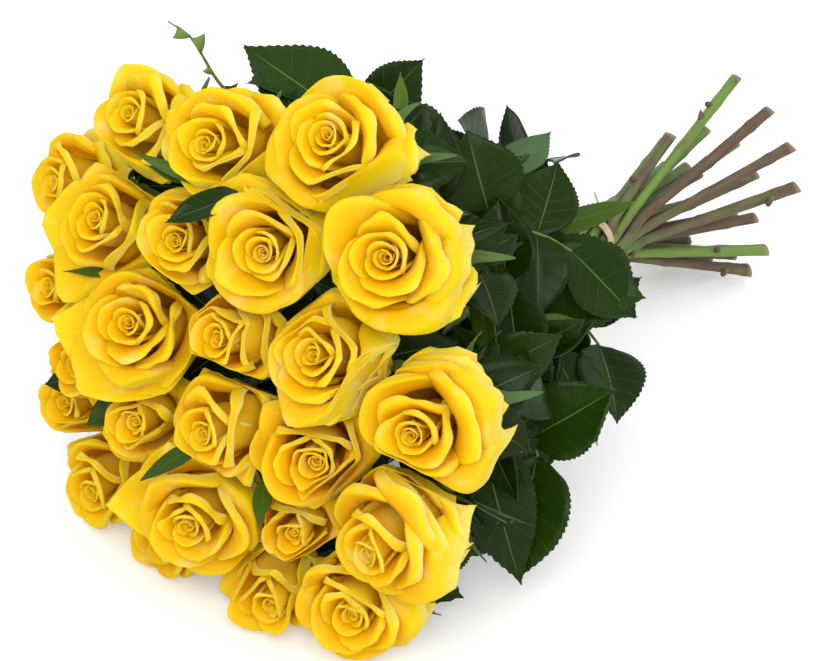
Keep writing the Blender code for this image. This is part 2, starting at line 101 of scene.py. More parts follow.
# Petals from the heart (layer 0) to the outside (layer 1). A petal's wall stands at a share of the
# bloom's radius, dips below its crest by a share of its length and leans out over such a share of the
# radius, and its rim rolls down. Then half its width in degrees, how much farther out its one side
# stands than its other, and how much its rim waves.
PETAL_LAYERS = np.array(
    (
        # layer, stand, crest, dip, lip, fall, width, tuck, wave
        (0.00, 0.015, 0.905, 0.10, 0.016, 0.000, 170, 0.70, 0.001),
        (0.10, 0.035, 0.925, 0.10, 0.026, 0.002, 158, 0.50, 0.002),
        (0.20, 0.060, 0.940, 0.10, 0.040, 0.006, 148, 0.40, 0.003),
        (0.32, 0.100, 0.955, 0.11, 0.065, 0.012, 136, 0.30, 0.005),
        (0.44, 0.155, 0.965, 0.13, 0.120, 0.020, 108, 0.24, 0.010),
        (0.56, 0.230, 0.960, 0.15, 0.185, 0.032, 94, 0.20, 0.016),
        (0.68, 0.335, 0.935, 0.15, 0.250, 0.046, 84, 0.16, 0.023),
        (0.80, 0.460, 0.880, 0.13, 0.320, 0.060, 77, 0.12, 0.030),
        (0.90, 0.570, 0.810, 0.09, 0.320, 0.075, 73, 0.09, 0.036),
        (1.00, 0.680, 0.710, 0.05, 0.300, 0.080, 70, 0.06, 0.040),
    )
)
# Each rose: how open it is, its petals, its turn in degrees, and its tint from lemon 0 to orange 1.
ROSE_LOOKS = (
    (0.75, 18, 14, 0.5),
    (0.6, 17, 40, 0.5),
    (0.7, 17, 0, 0.4),
    (0.3, 15, 0, 0.4),
    (0.7, 18, 90, 0.7),
    (0.75, 18, 0, 0.4),
    (0.75, 17, 0, 0.3),
    (0.95, 19, 20, 0.4),
    (0.35, 15, 0, 0.6),
    (0.75, 18, 60, 0.4),
    (0.45, 15, 0, 0.5),
    (0.6, 17, 0, 0.3),
    (0.5, 16, 0, 0.5),
    (0.95, 19, 0, 0.6),
    (0.95, 19, 30, 0.5),
    (0.95, 19, 10, 0.3),
    (0.75, 18, 0, 0.2),
    (0.45, 15, 0, 0.4),
    (0.7, 18, 0, 0.5),
    (0.45, 15, 0, 0.4),
    (0.9, 19, 50, 0.3),
    (0.7, 17, 0, 0.2),
    (0.6, 17, 0, 0.4),
    (0.6, 17, 0, 0.5),
    (0.7, 17, 0, 0.4),
)
# Big petals that have folded right back, by rose: the way each one points as the camera sees it, in
# degrees from the right over the top, how far it reaches and falls, half its width, and its point.
FLOPS = {
    1: ((160, 0.34, 0.20, 60, 0.5),),
    3: ((250, 0.30, 0.25, 60, 0.3),),
    6: ((20, 0.36, 0.25, 62, 0.5), (210, 0.34, 0.30, 66, 0.2)),
    8: ((80, 0.42, 0.02, 40, 1.0), (-30, 0.34, 0.30, 70, 0.1), (250, 0.36, 0.34, 70, 0.2)),
    10: ((-20, 0.40, 0.25, 70, 0.2), (250, 0.36, 0.30, 64, 0.8)),
    14: ((40, 0.40, 0.05, 62, 1.0), (-40, 0.36, 0.25, 66, 0.4)),
    15: ((25, 0.34, 0.22, 50, 0.4), (-75, 0.36, 0.30, 70, 0.1)),
    16: ((60, 0.30, 0.10, 56, 0.4), (-15, 0.26, 0.26, 52, 0.5), (-80, 0.34, 0.34, 60, 0.2)),
    17: ((-60, 0.40, 0.25, 60, 0.9), (150, 0.30, 0.25, 60, 0.3)),
    19: ((200, 0.34, 0.10, 66, 0.7), (20, 0.40, 0.20, 66, 0.4)),
    21: ((200, 0.34, 0.30, 64, 0.3), (-50, 0.32, 0.30, 66, 0.2)),
    22: ((120, 0.36, 0.02, 50, 0.3), (230, 0.34, 0.20, 56, 0.6)),
}
FLOP_LAYER = 0.92
FLOP_WALL = (0.68, 0.80, 0.02)  # such a petal's stand, crest and dip
FLOP_WAVE = (0.02, 0.03)  # and its tuck and wave
# Low petals that fill the room between a bloom and its neighbours. Distances are shares of its radius.
UNDER_PETALS = 7
UNDER_STAND = 0.7
UNDER_CREST = (0.45, 0.62)
UNDER_DIP = 0.05
UNDER_FALL = 0.06
UNDER_WIDTH = 56
UNDER_WAVE = (0.0, 0.04)  # its tuck and wave
UNDER_POINT = 0.3
UNDER_FINENESS = 0.35  # between the coarsest petal 0 and the finest 1
UNDER_ROOM = 2.2  # there is such a petal where the room is less than this
ENCLOSED_ROOM = 2.0  # it reaches into the corner where the room on both its sides is less than this
UNDER_MOST = 1.75  # the farthest that it reaches
UNDER_SHORT = 1.08  # its reach at the dome's edge
UNDER_LOOK = np.array((-55, -26, 0, 26, 55))  # where the room is measured, in degrees off its middle
LIP_REACH = 1.15  # how many lips lie between its wall and its rim
HEART_CROWDING = 1.25  # the power by which petals are closer together towards the heart
HEART_SWAY = 0.10  # how far the heart leans off the middle, as a share of its height
OVAL = 0.06  # how far a bloom can be from round

# --- leaves, as the CAD has them ---
LEAF_THICKNESS = 0.0009
SEAT_GAP = 0.0003  # between a leaf or a bloom and its stem
LEAF_LEAD = 0.4  # how far a rachis runs straight off its stem, as a share of its reach
SHORTEST_RACHIS = 0.15  # as a share of the curve from its stem to its tip
BOW_STEP = 0.01  # the steps along that curve in which its end is sought
LEAFLET_FOLD = 0.22  # how steeply its halves rise, and how far its tip falls for its length
LEAFLET_CURL = 0.10
LEAFLET_SHAPE = 0.37  # half width as a share of length
LEAFLET_TEETH = 0.045  # how deep its teeth are, as a share of half its width
LEAFLET_PUFF = 0.0055  # how high it rises between its veins, and its edge waves, for its length
LEAFLET_WAVE = (0.010, 0.028)
VEINS = 7
VEIN_SLANT = 0.16
PAIR_TURN = math.radians(80)
PAIR_SIZE = 0.84  # a side leaflet's share of the end leaflet's length
PAIR_LESS = 0.14  # how much smaller each pair nearer the stem is
RACHIS_RADII = (0.0015, 0.0008)
FACE_FORWARD = 0.5  # how far leaves turn to face along the bouquet, and towards the light
FACE_LIGHT = 1.0
LIGHT = np.array((-0.66, -0.53, 0.53))  # the way towards the light
# Each leaf: its stem and how far along from the crossing it starts; where its tip is, as the distance
# along the axis, off it and around it in degrees; the length of its end leaflet; its twist in degrees;
# and its pairs of leaflets. The fourth hangs 10 degrees lower than its solid, so that the tie shows.
LEAVES = (
    (17, 0.215, 0.300, 0.150, 76, 0.068, 0, 1),
    (21, 0.170, 0.208, 0.134, 104, 0.056, 0, 1),
    (21, 0.110, 0.152, 0.118, 119, 0.053, 0, 1),
    (16, 0.205, 0.150, 0.132, 168, 0.056, 0, 1),
    (15, 0.155, 0.185, 0.152, 186, 0.054, 0, 1),
    (14, 0.228, 0.262, 0.168, 214, 0.068, 50, 1),
    (15, 0.222, 0.276, 0.142, 174, 0.050, 0, 1),
    (19, 0.200, 0.252, 0.125, 228, 0.054, 0, 1),
    (18, 0.180, 0.205, 0.150, 5, 0.058, 0, 1),
)
SHEET_THICKNESS = 0.0004  # of a leaflet here
# How many points a leaflet has across and along it: where it shows, among others, and under a bloom.
FINE = {"columns": 11, "rows": 41}
PLAIN = {"columns": 5, "rows": 21}
COARSE = {"columns": 5, "rows": 15}

# --- light and floor ---
# Each lamp: the way it lies, how far off, its size, and the level of white that it lights a surface to.
LAMPS = {
    "key": ((-0.75, -0.55, 0.75), 1.6, 1.0, 0.55),
    "fill": ((0.9, -0.6, 0.8), 2.0, 1.4, 0.16),
}
LAMPS_AIM = Vector((-0.1, 0, 0.12))
SKY_LEVEL = 0.95  # how strongly the background lights things, while it shows at 1 itself
FLOOR_COLOUR = (0.86, 0.86, 0.86, 1)
FLOOR_GLOW = 0.22  # what a mirrored or a camera's ray sees on top of the floor's own light
FLOOR_REACH = 4.0
FLOOR_CORNERS = 64
FLOOR_HEIGHT = -0.0002


def unit(v):
    """The direction of a vector."""
    return v / np.linalg.norm(v)


def unit_rows(rows):
    """The direction of each of many vectors."""
    return rows / np.linalg.norm(rows, axis=-1, keepdims=True)


def heading(angle, first, second):
    """The way at this angle from the first of two directions towards the second."""
    return math.cos(angle) * first + math.sin(angle) * second


def lerp(a, b, share):
    """From a to b by this share of the way."""
    return a + (b - a) * share


def travelled(steps):
    """How far along each point is, from the steps between them."""
    return np.concatenate(((0,), np.cumsum(steps)))


def hump(value, middle, reach):
    """A round hump of height 1 at the middle value, that fades out by about twice this reach."""
    return np.exp(-(((value - middle) / reach) ** 2))


def random_wave(rng, least, most, value):
    """A sine wave along the value, with a random pitch between these two and a random phase."""
    return np.sin(rng.uniform(least, most) * value + rng.uniform(0, math.tau))


def smooth(low, high, value):
    """0 up to the low value, 1 from the high one, and a smooth step between them."""
    share = np.clip((value - low) / (high - low), 0, 1)
    return share * share * (3 - 2 * share)


def add_object(name, data):
    """An object of this mesh, lamp or camera in the scene."""
    made = bpy.data.objects.new(name, data)
    bpy.context.scene.collection.objects.link(made)
    return made


# --- gathering meshes ---


class Shape:
    """Vertices, faces and per-vertex tags gathered into one mesh.

    The tags are two vectors that the materials read: `sheet`, which says where on its petal, leaf or
    stem a vertex is, and `shade`, which says how it differs from the rest.
    """

    def __init__(self):
        self.points, self.sheet, self.shade = [], [], []
        self.quads, self.triangles = [], []
        self.count = 0

    def add(self, points, quads, triangles, sheet, shade):
        """Adds vertices with their tags, and the faces between them."""
        self.quads.append(quads + self.count)
        self.triangles.append(np.array(triangles, int).reshape(-1, 3) + self.count)
        self.points.append(points)
        self.sheet.append(np.broadcast_to(sheet, points.shape))
        self.shade.append(np.broadcast_to(shade, points.shape))
        self.count += len(points)

    def add_sheet(self, grid, thickness, sheet, shade):
        """A closed sheet of this thickness round a grid of points. The third shade tag is its side."""
        n, m, _ = grid.shape
        thickness = np.broadcast_to(thickness, (n, m))[..., None]
        normal = np.cross(np.gradient(grid, axis=0), np.gradient(grid, axis=1))
        normal /= np.linalg.norm(normal, axis=2, keepdims=True) + 1e-12
        front = (grid + normal * thickness / 2).reshape(-1, 3)
        back = (grid - normal * thickness / 2).reshape(-1, 3)
        ids = np.arange(n * m).reshape(n, m)
        a, b, c, d = ids[:-1, :-1], ids[1:, :-1], ids[1:, 1:], ids[:-1, 1:]
        face = np.stack((a, b, c, d), axis=-1).reshape(-1, 4)
        edge = np.concatenate((ids[:, 0], ids[-1, 1:], ids[-2::-1, -1], ids[0, -2:0:-1]))
        after = np.roll(edge, -1)
        rim = np.stack((after, edge, edge + n * m, after + n * m), axis=-1)
        quads = np.concatenate((face, face[:, ::-1] + n * m, rim))
        sheet = np.broadcast_to(sheet, grid.shape).reshape(-1, 3)
        shade = np.broadcast_to(shade, grid.shape).reshape(-1, 3)
        behind = shade.copy()
        behind[:, 2] = 1 - behind[:, 2]
        points = np.concatenate((front, back))
        self.add(points, quads, (), np.concatenate((sheet, sheet)), np.concatenate((shade, behind)))

    def add_tube(self, rings, sheet, shade):
        """A closed tube through rings of points (ring, around, xyz), with a fan over each end."""
        n, m, _ = rings.shape
        ids = np.arange(n * m).reshape(n, m)
        on = np.roll(ids, -1, axis=1)
        quads = np.stack((ids[:-1], on[:-1], on[1:], ids[1:]), axis=-1).reshape(-1, 4)
        start, end = n * m, n * m + 1
        fans = [(start, on[0, k], ids[0, k]) for k in range(m)]
        fans += [(end, ids[-1, k], on[-1, k]) for k in range(m)]
        points = np.concatenate((rings.reshape(-1, 3), rings[:1].mean(axis=1), rings[-1:].mean(axis=1)))
        tags = []
        for tag in (sheet, shade):
            tag = np.broadcast_to(tag, rings.shape)
            tags.append(np.concatenate((tag.reshape(-1, 3), tag[:1, 0], tag[-1:, 0])))
        self.add(points, quads, fans, *tags)

    def piece(self, name, material, slot, replaced=(), tint=None):
        """Makes one piece of all that was gathered, on the bouquet's one body."""
        mesh = bpy.data.meshes.new(name)
        points = np.concatenate(self.points)
        quads, triangles = np.concatenate(self.quads), np.concatenate(self.triangles)
        mesh.vertices.add(len(points))
        mesh.vertices.foreach_set("co", points.astype(np.float32).ravel())
        corners = np.concatenate((quads.ravel(), triangles.ravel())).astype(np.int32)
        starts = np.arange(len(quads)) * 4
        starts = np.concatenate((starts, len(quads) * 4 + np.arange(len(triangles)) * 3))
        mesh.loops.add(len(corners))
        mesh.loops.foreach_set("vertex_index", corners)
        mesh.polygons.add(len(starts))
        mesh.polygons.foreach_set("loop_start", starts.astype(np.int32))
        mesh.polygons.foreach_set("use_smooth", np.ones(len(starts), bool))
        for label, tags in (("sheet", self.sheet), ("shade", self.shade)):
            attribute = mesh.attributes.new(label, "FLOAT_VECTOR", "POINT")
            attribute.data.foreach_set("vector", np.concatenate(tags).astype(np.float32).ravel())
        if tint is not None:
            attribute = mesh.attributes.new("tint", "FLOAT", "POINT")
            attribute.data.foreach_set("value", np.full(len(points), tint, np.float32))
        mesh.update(calc_edges=True)
        mesh.validate()
        mesh.materials.append(material)
        piece = add_object(name, mesh)
        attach(piece, "root")
        if replaced:
            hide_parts(*replaced)


# --- materials ---


class Nodes:
    """A material's node tree, with short calls for the nodes that it is made of."""

    def __init__(self, name):
        self.material = bpy.data.materials.new(name)
        self.material.use_nodes = True
        self.tree = self.material.node_tree
        self.shader = self.tree.nodes["Principled BSDF"]
        self.output = self.tree.nodes["Material Output"]

    def put(self, socket, value):
        """Links another node's output to a socket, or sets its value."""
        if hasattr(value, "links"):
            self.tree.links.new(value, socket)
        else:
            socket.default_value = value

    def make(self, kind, inputs=(), **settings):
        """A new node of this kind with these settings and inputs."""
        made = self.tree.nodes.new(kind)
        for key, value in settings.items():
            setattr(made, key, value)
        for key, value in dict(inputs).items():
            self.put(made.inputs[key], value)
        return made

    def tag(self, label):
        """One of the mesh's tags, whole and as its three numbers."""
        vector = self.make("ShaderNodeAttribute", attribute_name=label).outputs["Vector"]
        return vector, self.make("ShaderNodeSeparateXYZ", {0: vector}).outputs

    def math(self, operation, a, b=0.0):
        """One operation on two values, or on the first alone."""
        return self.make("ShaderNodeMath", {0: a, 1: b}, operation=operation).outputs[0]

    def ramp(self, value, low, high, low_to=0.0, high_to=1.0):
        """A smooth step between two values, from one result to another."""
        inputs = {"Value": value, "From Min": low, "From Max": high, "To Min": low_to, "To Max": high_to}
        made = self.make("ShaderNodeMapRange", inputs, interpolation_type="SMOOTHSTEP")
        return made.outputs["Result"]

    def mix(self, share, a, b):
        """Colour a at share 0 and colour b at share 1."""
        made = self.make("ShaderNodeMix", data_type="RGBA")
        self.put(made.inputs[0], share)
        self.put(made.inputs[6], (*a, 1) if isinstance(a, tuple) else a)
        self.put(made.inputs[7], (*b, 1) if isinstance(b, tuple) else b)
        return made.outputs[2]

    def noise(self, vector, scale, stretch=(1, 1, 1), detail=3.0):
        """Soft noise from 0 to 1, finer along each axis by its stretch."""
        placed = self.make("ShaderNodeMapping", {"Vector": vector, "Scale": stretch})
        inputs = {"Vector": placed.outputs[0], "Scale": scale, "Detail": detail}
        return self.make("ShaderNodeTexNoise", inputs).outputs["Fac"]

    def surface(self, colour, roughness, height, strength, distance):
        """The shader's colour, roughness and a bump of this height."""
        inputs = {"Height": height, "Strength": strength, "Distance": distance}
        self.put(self.shader.inputs["Base Color"], colour)
        self.put(self.shader.inputs["Roughness"], roughness)
        self.put(self.shader.inputs["Normal"], self.make("ShaderNodeBump", inputs).outputs["Normal"])


def petal_material():
    """Yellow, deeper orange towards the foot and the heart (its own tone and painted shade), with a pale
    rim (its own tone and painted highlight) and a golden back.
    """
    n = Nodes("rose_petal")
    sheet, _ = n.tag("sheet")
    _, (reach, layer, side) = n.tag("shade")
    tint = n.make("ShaderNodeAttribute", attribute_name="tint").outputs["Fac"]
    golden = n.mix(tint, (0.98, 0.90, 0.010), (0.98, 0.78, 0.007))
    # Painted shade: the deeper orange towards a petal's foot is partly the rose's own tone and partly shade
    # painted into the crevices between petals.
    deep_and_shade = n.mix(tint, (0.98, 0.70, 0.004), (0.98, 0.56, 0.003))
    colour = n.mix(n.ramp(reach, 0.50, 0.92), deep_and_shade, golden)
    # Painted shade: the heart's petals are drawn towards orange, partly their own tone and partly the shade
    # deep inside the heart.
    colour = n.mix(n.ramp(layer, 0.0, 0.4, 0.5, 0.0), colour, (0.97, 0.52, 0.005))
    # Painted highlight: the pale rim is partly the petal's own paler edge and partly the light caught on
    # its thick rolled rim.
    lip = n.math("MULTIPLY", n.ramp(reach, 0.84, 1.0), 0.80)
    colour = n.mix(lip, colour, (0.98, 0.95, 0.30))
    back = n.mix(n.ramp(reach, 0.05, 0.4), (0.84, 0.74, 0.05), (0.98, 0.78, 0.030))
    colour = n.mix(n.math("MULTIPLY", side, 0.80), colour, back)
    cloud = n.noise(n.make("ShaderNodeTexCoord").outputs["Object"], 55)
    colour = n.mix(n.ramp(cloud, 0.52, 0.78, 0.0, 0.50), colour, (0.98, 0.92, 0.36))
    veins = n.noise(sheet, 1.0, (1500, 90, 40))
    colour = n.mix(n.ramp(veins, 0.45, 0.7, 0.0, 0.16), colour, (0.90, 0.42, 0.01))
    n.surface(colour, 0.55, veins, 0.25, 0.0006)
    n.shader.inputs["Specular IOR Level"].default_value = 0.22
    # Some of the light on a petal comes out on its other side.
    through = n.make("ShaderNodeBsdfTranslucent", {"Color": colour})
    inputs = {0: 0.46, 1: n.shader.outputs[0], 2: through.outputs[0]}
    n.put(n.output.inputs["Surface"], n.make("ShaderNodeMixShader", inputs).outputs[0])
    return n.material


def leaf_material():
    """Dark green with a pale rib and veins, paler and duller below. Young leaves are yellower."""
    n = Nodes("rose_leaf")
    _, (across, along, _) = n.tag("sheet")
    _, (age, tone, side) = n.tag("shade")
    spot = n.make("ShaderNodeTexCoord").outputs["Object"]
    top = n.mix(tone, (0.005, 0.017, 0.001), (0.020, 0.056, 0.002))
    top = n.mix(n.ramp(n.noise(spot, 60), 0.4, 0.7, 0.0, 0.4), top, (0.012, 0.034, 0.001))
    under = n.mix(n.noise(spot, 90), (0.045, 0.095, 0.035), (0.085, 0.150, 0.065))
    colour = n.mix(side, top, under)
    colour = n.mix(age, colour, (0.13, 0.22, 0.020))
    wide = n.math("ABSOLUTE", across)
    rib = n.ramp(wide, 0.006, 0.028, 1.0, 0.0)
    slant = n.math("MULTIPLY", wide, VEIN_SLANT)
    wave = n.math("MULTIPLY", n.math("SUBTRACT", along, slant), VEINS * math.tau)
    vein = n.ramp(n.math("COSINE", wave), 0.95, 1.0)
    fine = n.noise(spot, 900, detail=2.0)
    pale = n.math("MAXIMUM", n.math("MULTIPLY", rib, 0.55), n.math("MULTIPLY", vein, 0.05))
    colour = n.mix(pale, colour, (0.15, 0.25, 0.06))
    height = n.math("SUBTRACT", n.math("MULTIPLY", fine, 0.25), n.math("MAXIMUM", rib, vein))
    n.surface(colour, n.ramp(side, 0.0, 1.0, 0.27, 0.60), height, 0.35, 0.0005)
    n.shader.inputs["Specular IOR Level"].default_value = 0.11
    return n.material


def stem_material():
    """Green bark that turns brown in places, with a pale cut end."""
    n = Nodes("rose_stem")
    sheet, _ = n.tag("sheet")
    _, (brown, cut, green) = n.tag("shade")
    fibre = n.noise(sheet, 1.0, (9, 60, 1))
    patch = n.noise(sheet, 1.0, (2, 22, 1))
    base = n.mix(green, (0.085, 0.095, 0.030), (0.125, 0.245, 0.030))
    base = n.mix(n.ramp(fibre, 0.35, 0.7, 0.0, 0.35), base, (0.17, 0.20, 0.06))
    bark = n.mix(fibre, (0.060, 0.034, 0.022), (0.175, 0.115, 0.075))
    share = n.math("ADD", brown, n.ramp(patch, 0.40, 0.70, -0.25, 0.45))
    colour = n.mix(n.ramp(share, 0.10, 0.80), base, bark)
    colour = n.mix(cut, colour, (0.30, 0.24, 0.13))
    n.surface(colour, n.ramp(share, 0.0, 1.0, 0.42, 0.75), fibre, 0.35, 0.0008)
    n.shader.inputs["Specular IOR Level"].default_value = 0.35
    return n.material


def raffia_material():
    """Dry beige fibre."""
    n = Nodes("raffia")
    sheet, _ = n.tag("sheet")
    fibre = n.noise(sheet, 1.0, (40, 12, 1), detail=4.0)
    colour = n.mix(fibre, (0.34, 0.23, 0.13), (0.78, 0.62, 0.42))
    n.surface(colour, 0.7, fibre, 0.6, 0.0006)
    return n.material


PETAL = petal_material()
LEAF = leaf_material()
STEM = stem_material()
RAFFIA = raffia_material()


# --- what the frame says ---


def node_points(name):
    """A CAD node's vertices, each once."""
    points = np.array([v.co for v in NODES[name].data.vertices])
    return np.unique(np.round(points, 6), axis=0)


def read_rose(number):
    """Where a rose sits and how wide it is, from the ring of its bloom that rests on its stem."""
    bloom, stem = node_points(f"bloom_{number:02d}"), node_points(f"stem_{number:02d}")
    gap = np.linalg.norm(bloom[:, None] - stem[None], axis=2).min(axis=1)
    ring = bloom[np.argsort(gap)[:BASE_RING]]
    base = ring.mean(axis=0)
    direction = np.linalg.svd(ring - base)[2][2]
    direction = direction * np.sign(direction @ (bloom.mean(axis=0) - base))
    width = 2 * np.linalg.norm(ring - base, axis=1).mean() / BASE_SHARE
    length = ((bloom - base) @ direction).max()
    return {
        "base": base,
        "direction": direction,
        "width": width,
        "length": length,
        "middle": base + direction * length / 2,
    }


STEM_SIDES = 7  # of a CAD stem
RING_GAP = 0.0035  # rings of a CAD stem are farther apart along the axis than this


def read_stem(number):
    """The middles and radii of a stem's rings from its cut end to its bend."""
    points = node_points(f"stem_{number:02d}")
    along = points @ AXIS
    order = np.argsort(along)
    cuts = np.nonzero(np.diff(along[order]) > RING_GAP)[0] + 1
    rings = [points[group] for group in np.split(order, cuts) if len(group) == STEM_SIDES]
    middles = np.array([ring.mean(axis=0) for ring in rings])
    radii = np.array([np.linalg.norm(r - m, axis=1).mean() for r, m in zip(rings, middles)])
    return middles, radii


ROSES = [read_rose(k + 1) for k in range(ROSE_COUNT)]
STEMS = [read_stem(k + 1) for k in range(ROSE_COUNT)]
tie_points = node_points("raffia_tie")
crossing_along = np.ptp(tie_points @ AXIS) / 2 + (tie_points @ AXIS).min() - TIE_ALONG
crossings = []
for middles, _ in STEMS:
    crossings.append([np.interp(crossing_along, middles @ AXIS, middles @ way) for way in (ACROSS, UP)])
CROSSING = crossing_along * AXIS + np.array(crossings).mean(axis=0) @ np.array((ACROSS, UP))


def place(along, lateral):
    """The point this far along the bouquet's axis from the crossing and (across, up) off it."""
    return CROSSING + along * AXIS + lateral[0] * ACROSS + lateral[1] * UP


def around_axis(along, off, degrees):
    """The point this far along the bouquet's axis, off it and around it."""
    angle = math.radians(degrees)
    return place(along, off * np.array((math.cos(angle), math.sin(angle))))


def spline(points, shares):
    """Points on a smooth curve through rows of points, or through many curves' rows, at these shares."""
    spans = points.shape[-2] - 1
    ahead = 2 * points[..., :1, :] - points[..., 1:2, :]
    behind = 2 * points[..., -1:, :] - points[..., -2:-1, :]
    padded = np.concatenate((ahead, points, behind), axis=-2)
    place_on = np.asarray(shares) * spans
    first = np.clip(np.floor(place_on), 0, spans - 1).astype(int)
    f = (place_on - first)[..., None]

    def take(step):
        """The keys this many steps on from the first one at each share."""
        if padded.ndim == 2:
            return padded[first + step]
        return np.take_along_axis(padded, (first + step)[..., None], axis=-2)

    a, b, c, d = (take(step) for step in range(4))
    return 0.5 * (2 * b + (c - a) * f + (2 * a - 5 * b + 4 * c - d) * f**2 + (3 * b - a - 3 * c + d) * f**3)


def turned(vector, axis, angle):
    """The vector turned about this axis."""
    return np.array(Matrix.Rotation(angle, 3, Vector(axis)) @ Vector(vector))


def frame_about(direction):
    """Two directions square to this one and to each other, the first as near to +Z as it can be."""
    side = np.cross(direction, (0, 0, 1))
    side = unit(side) if np.linalg.norm(side) > 1e-6 else np.array((1.0, 0, 0))
    return np.cross(side, direction), side


# --- roses ---


def press_planes(index):
    """The planes that press on a bloom: between it and each near neighbour, and the floor."""
    own = ROSES[index]
    planes = [(np.array((0, 0, -1.0)), own["middle"][2] - PRESS_GAP)]
    for other, rose in enumerate(ROSES):
        apart = rose["middle"] - own["middle"]
        distance = np.linalg.norm(apart)
        if other != index and distance < own["width"] + rose["width"]:
            share = own["width"] ** 1.5 / (own["width"] ** 1.5 + rose["width"] ** 1.5)
            over = OVERLAP if own["width"] > rose["width"] else -OVERLAP
            front = unit(own["direction"] + rose["direction"])
            direction = unit(apart / distance - over * front)
            planes.append((direction, apart @ direction * share - PRESS_GAP / 2))
    return planes


PLANES = [press_planes(k) for k in range(ROSE_COUNT)]


def gather(points, own, direction, radius):
    """Draws points in towards a bloom's axis, so that they stay near its radius."""
    off = points - own
    height = off @ direction
    off = off - height[..., None] * direction
    reach = np.linalg.norm(off, axis=-1)
    free = GATHER_FREE * radius
    give = GATHER_GIVE * radius
    past = np.maximum(reach - free, 0)
    held = np.where(past > 0, free + give * np.tanh(past / give), reach)
    return own + height[..., None] * direction + off * (held / np.maximum(reach, 1e-9))[..., None]


def press(points, own, planes, inset):
    """Where the points of a bloom go once its neighbours press on it, so far short of each plane."""
    points = points.copy()
    planes = [(direction, np.maximum(limit - inset, PRESS_LEAST * limit)) for direction, limit in planes]
    for _ in range(PRESS_ROUNDS):
        for direction, limit in planes:
            free = PRESS_FREE * limit
            give = limit - free
            past = np.maximum((points - own) @ direction - free, 0)
            points += direction * (give * np.tanh(past / give) - past)[..., None]
    for direction, limit in planes:
        past = np.maximum((points - own) @ direction - limit, 0)
        points -= direction * past[..., None]
    return points


def sheet_shares(count, crowding):
    """Shares from 0 to 1, closer together near 1 by this power, with a last narrow one for a crisp rim."""
    shares = np.linspace(0, 1, count - 1)[:-1] ** crowding
    return np.concatenate((shares, (0.5 * (1 + RIM_START) - 0.03, RIM_START, 1.0)))


def petal_grid(form, radius, length, fine, rng):
    """One petal about its bloom's axis: points (across, along, xyz), and where on the petal each is.

    That is how far it is from the foot 0 to the rim 1, and how far to the side.
    """
    stand, crest, dip, lip, fall, width, tuck, wave, point, belly = form
    columns, rows = int(lerp(*PETAL_COLUMNS, fine)), int(lerp(*PETAL_ROWS, fine))
    half = sheet_shares(columns // 2, 0.9)
    u = np.concatenate((-half[::-1], half[1:]))[:, None]
    shares = sheet_shares(rows, 0.7)
    reach = np.broadcast_to(shares[None, :], (len(u), len(shares)))
    # The outline: round shoulders, a point or a dent at the middle, and a few slow waves.
    shoulder = 1 - 0.16 * np.abs(u) ** 2.2 - 0.20 * np.abs(u) ** 7
    slow = 1 + 0.10 * random_wave(rng, 3, 5, u)
    peak = 1 + point * (0.75 * hump(u, 0, 0.28) - 0.35)
    stand = stand * (1 + tuck * u) + 0.012
    crest = crest * shoulder
    lip = lip * (1 - 0.30 * np.abs(u) ** 3) * slow * peak
    fall = fall * (1 + (0.5 + 1.2 * point) * np.abs(u) ** 1.5)
    # The petal's profile from its foot up its wall, out over its lip and down to its rim.
    keys = (
        (PETAL_FOOT + 0 * u, 0.02 + 0 * u),
        (lerp(PETAL_FOOT, stand, 0.62), 0.15 * crest),
        (lerp(PETAL_FOOT, stand, 0.90) * belly, 0.45 * crest),
        (stand, crest - dip - 0.12 * crest),
        (stand + 0.16 * lip, crest - dip),
        (stand + 0.55 * lip, crest - 0.42 * dip),
        (stand + 0.92 * lip, crest),
        (stand + 1.12 * lip, crest - 0.35 * fall),
        (stand + 1.20 * lip, crest - fall),
    )
    keys = np.array(keys)[..., 0].transpose(2, 0, 1) * (radius, length)
    profile = spline(keys, reach)
    # Waves along the rim, square to the sheet.
    waves = random_wave(rng, 4, 8, u)
    waves = waves + 0.7 * random_wave(rng, 9, 15, u)
    along = unit_rows(np.gradient(profile, axis=1))
    normal = np.stack((along[..., 1], -along[..., 0]), axis=-1)
    creases = random_wave(rng, 7, 11, u)
    ripple = wave * waves * reach**4 + 0.25 * wave * creases * reach**1.5
    profile = profile + normal * (radius * ripple)[..., None]
    spread = lerp(0.55, 1.0, smooth(0, 0.55, reach)) * (1 - 0.10 * smooth(0.75, 1.0, reach))
    turn = math.radians(width) * u * spread
    across, height = profile[..., 0], profile[..., 1]
    grid = np.stack((across * np.cos(turn), across * np.sin(turn), height), axis=-1)
    return grid, reach, turn * radius


def petal_form(layer, openness, rng):
    """The measures of a petal in this layer of a bloom that is so far open.

    They are those of PETAL_LAYERS, with its point and how far its wall bellies out at the end.
    """
    stand, crest, dip, lip, fall, width, tuck, wave = (
        float(np.interp(layer, PETAL_LAYERS[:, 0], column)) for column in PETAL_LAYERS[:, 1:].T
    )
    closed = (1 - openness) * float(smooth(0.2, 0.9, layer))
    stand *= (1 + 0.10 * closed) * (1 + rng.normal(0, 0.03))
    crest += 0.26 * closed + rng.normal(0, 0.010)
    lip *= (1 - 0.55 * closed) * rng.uniform(0.75, 1.25)
    fall *= rng.uniform(0.5, 1.4)
    width += rng.normal(0, 5)
    point = rng.uniform(0, 0.7) ** 1.5 * float(smooth(0.3, 0.7, layer))
    dip += 0.05 * closed
    return [stand, crest, dip, lip, fall, width, tuck, wave, point, 1 + 0.16 * closed]


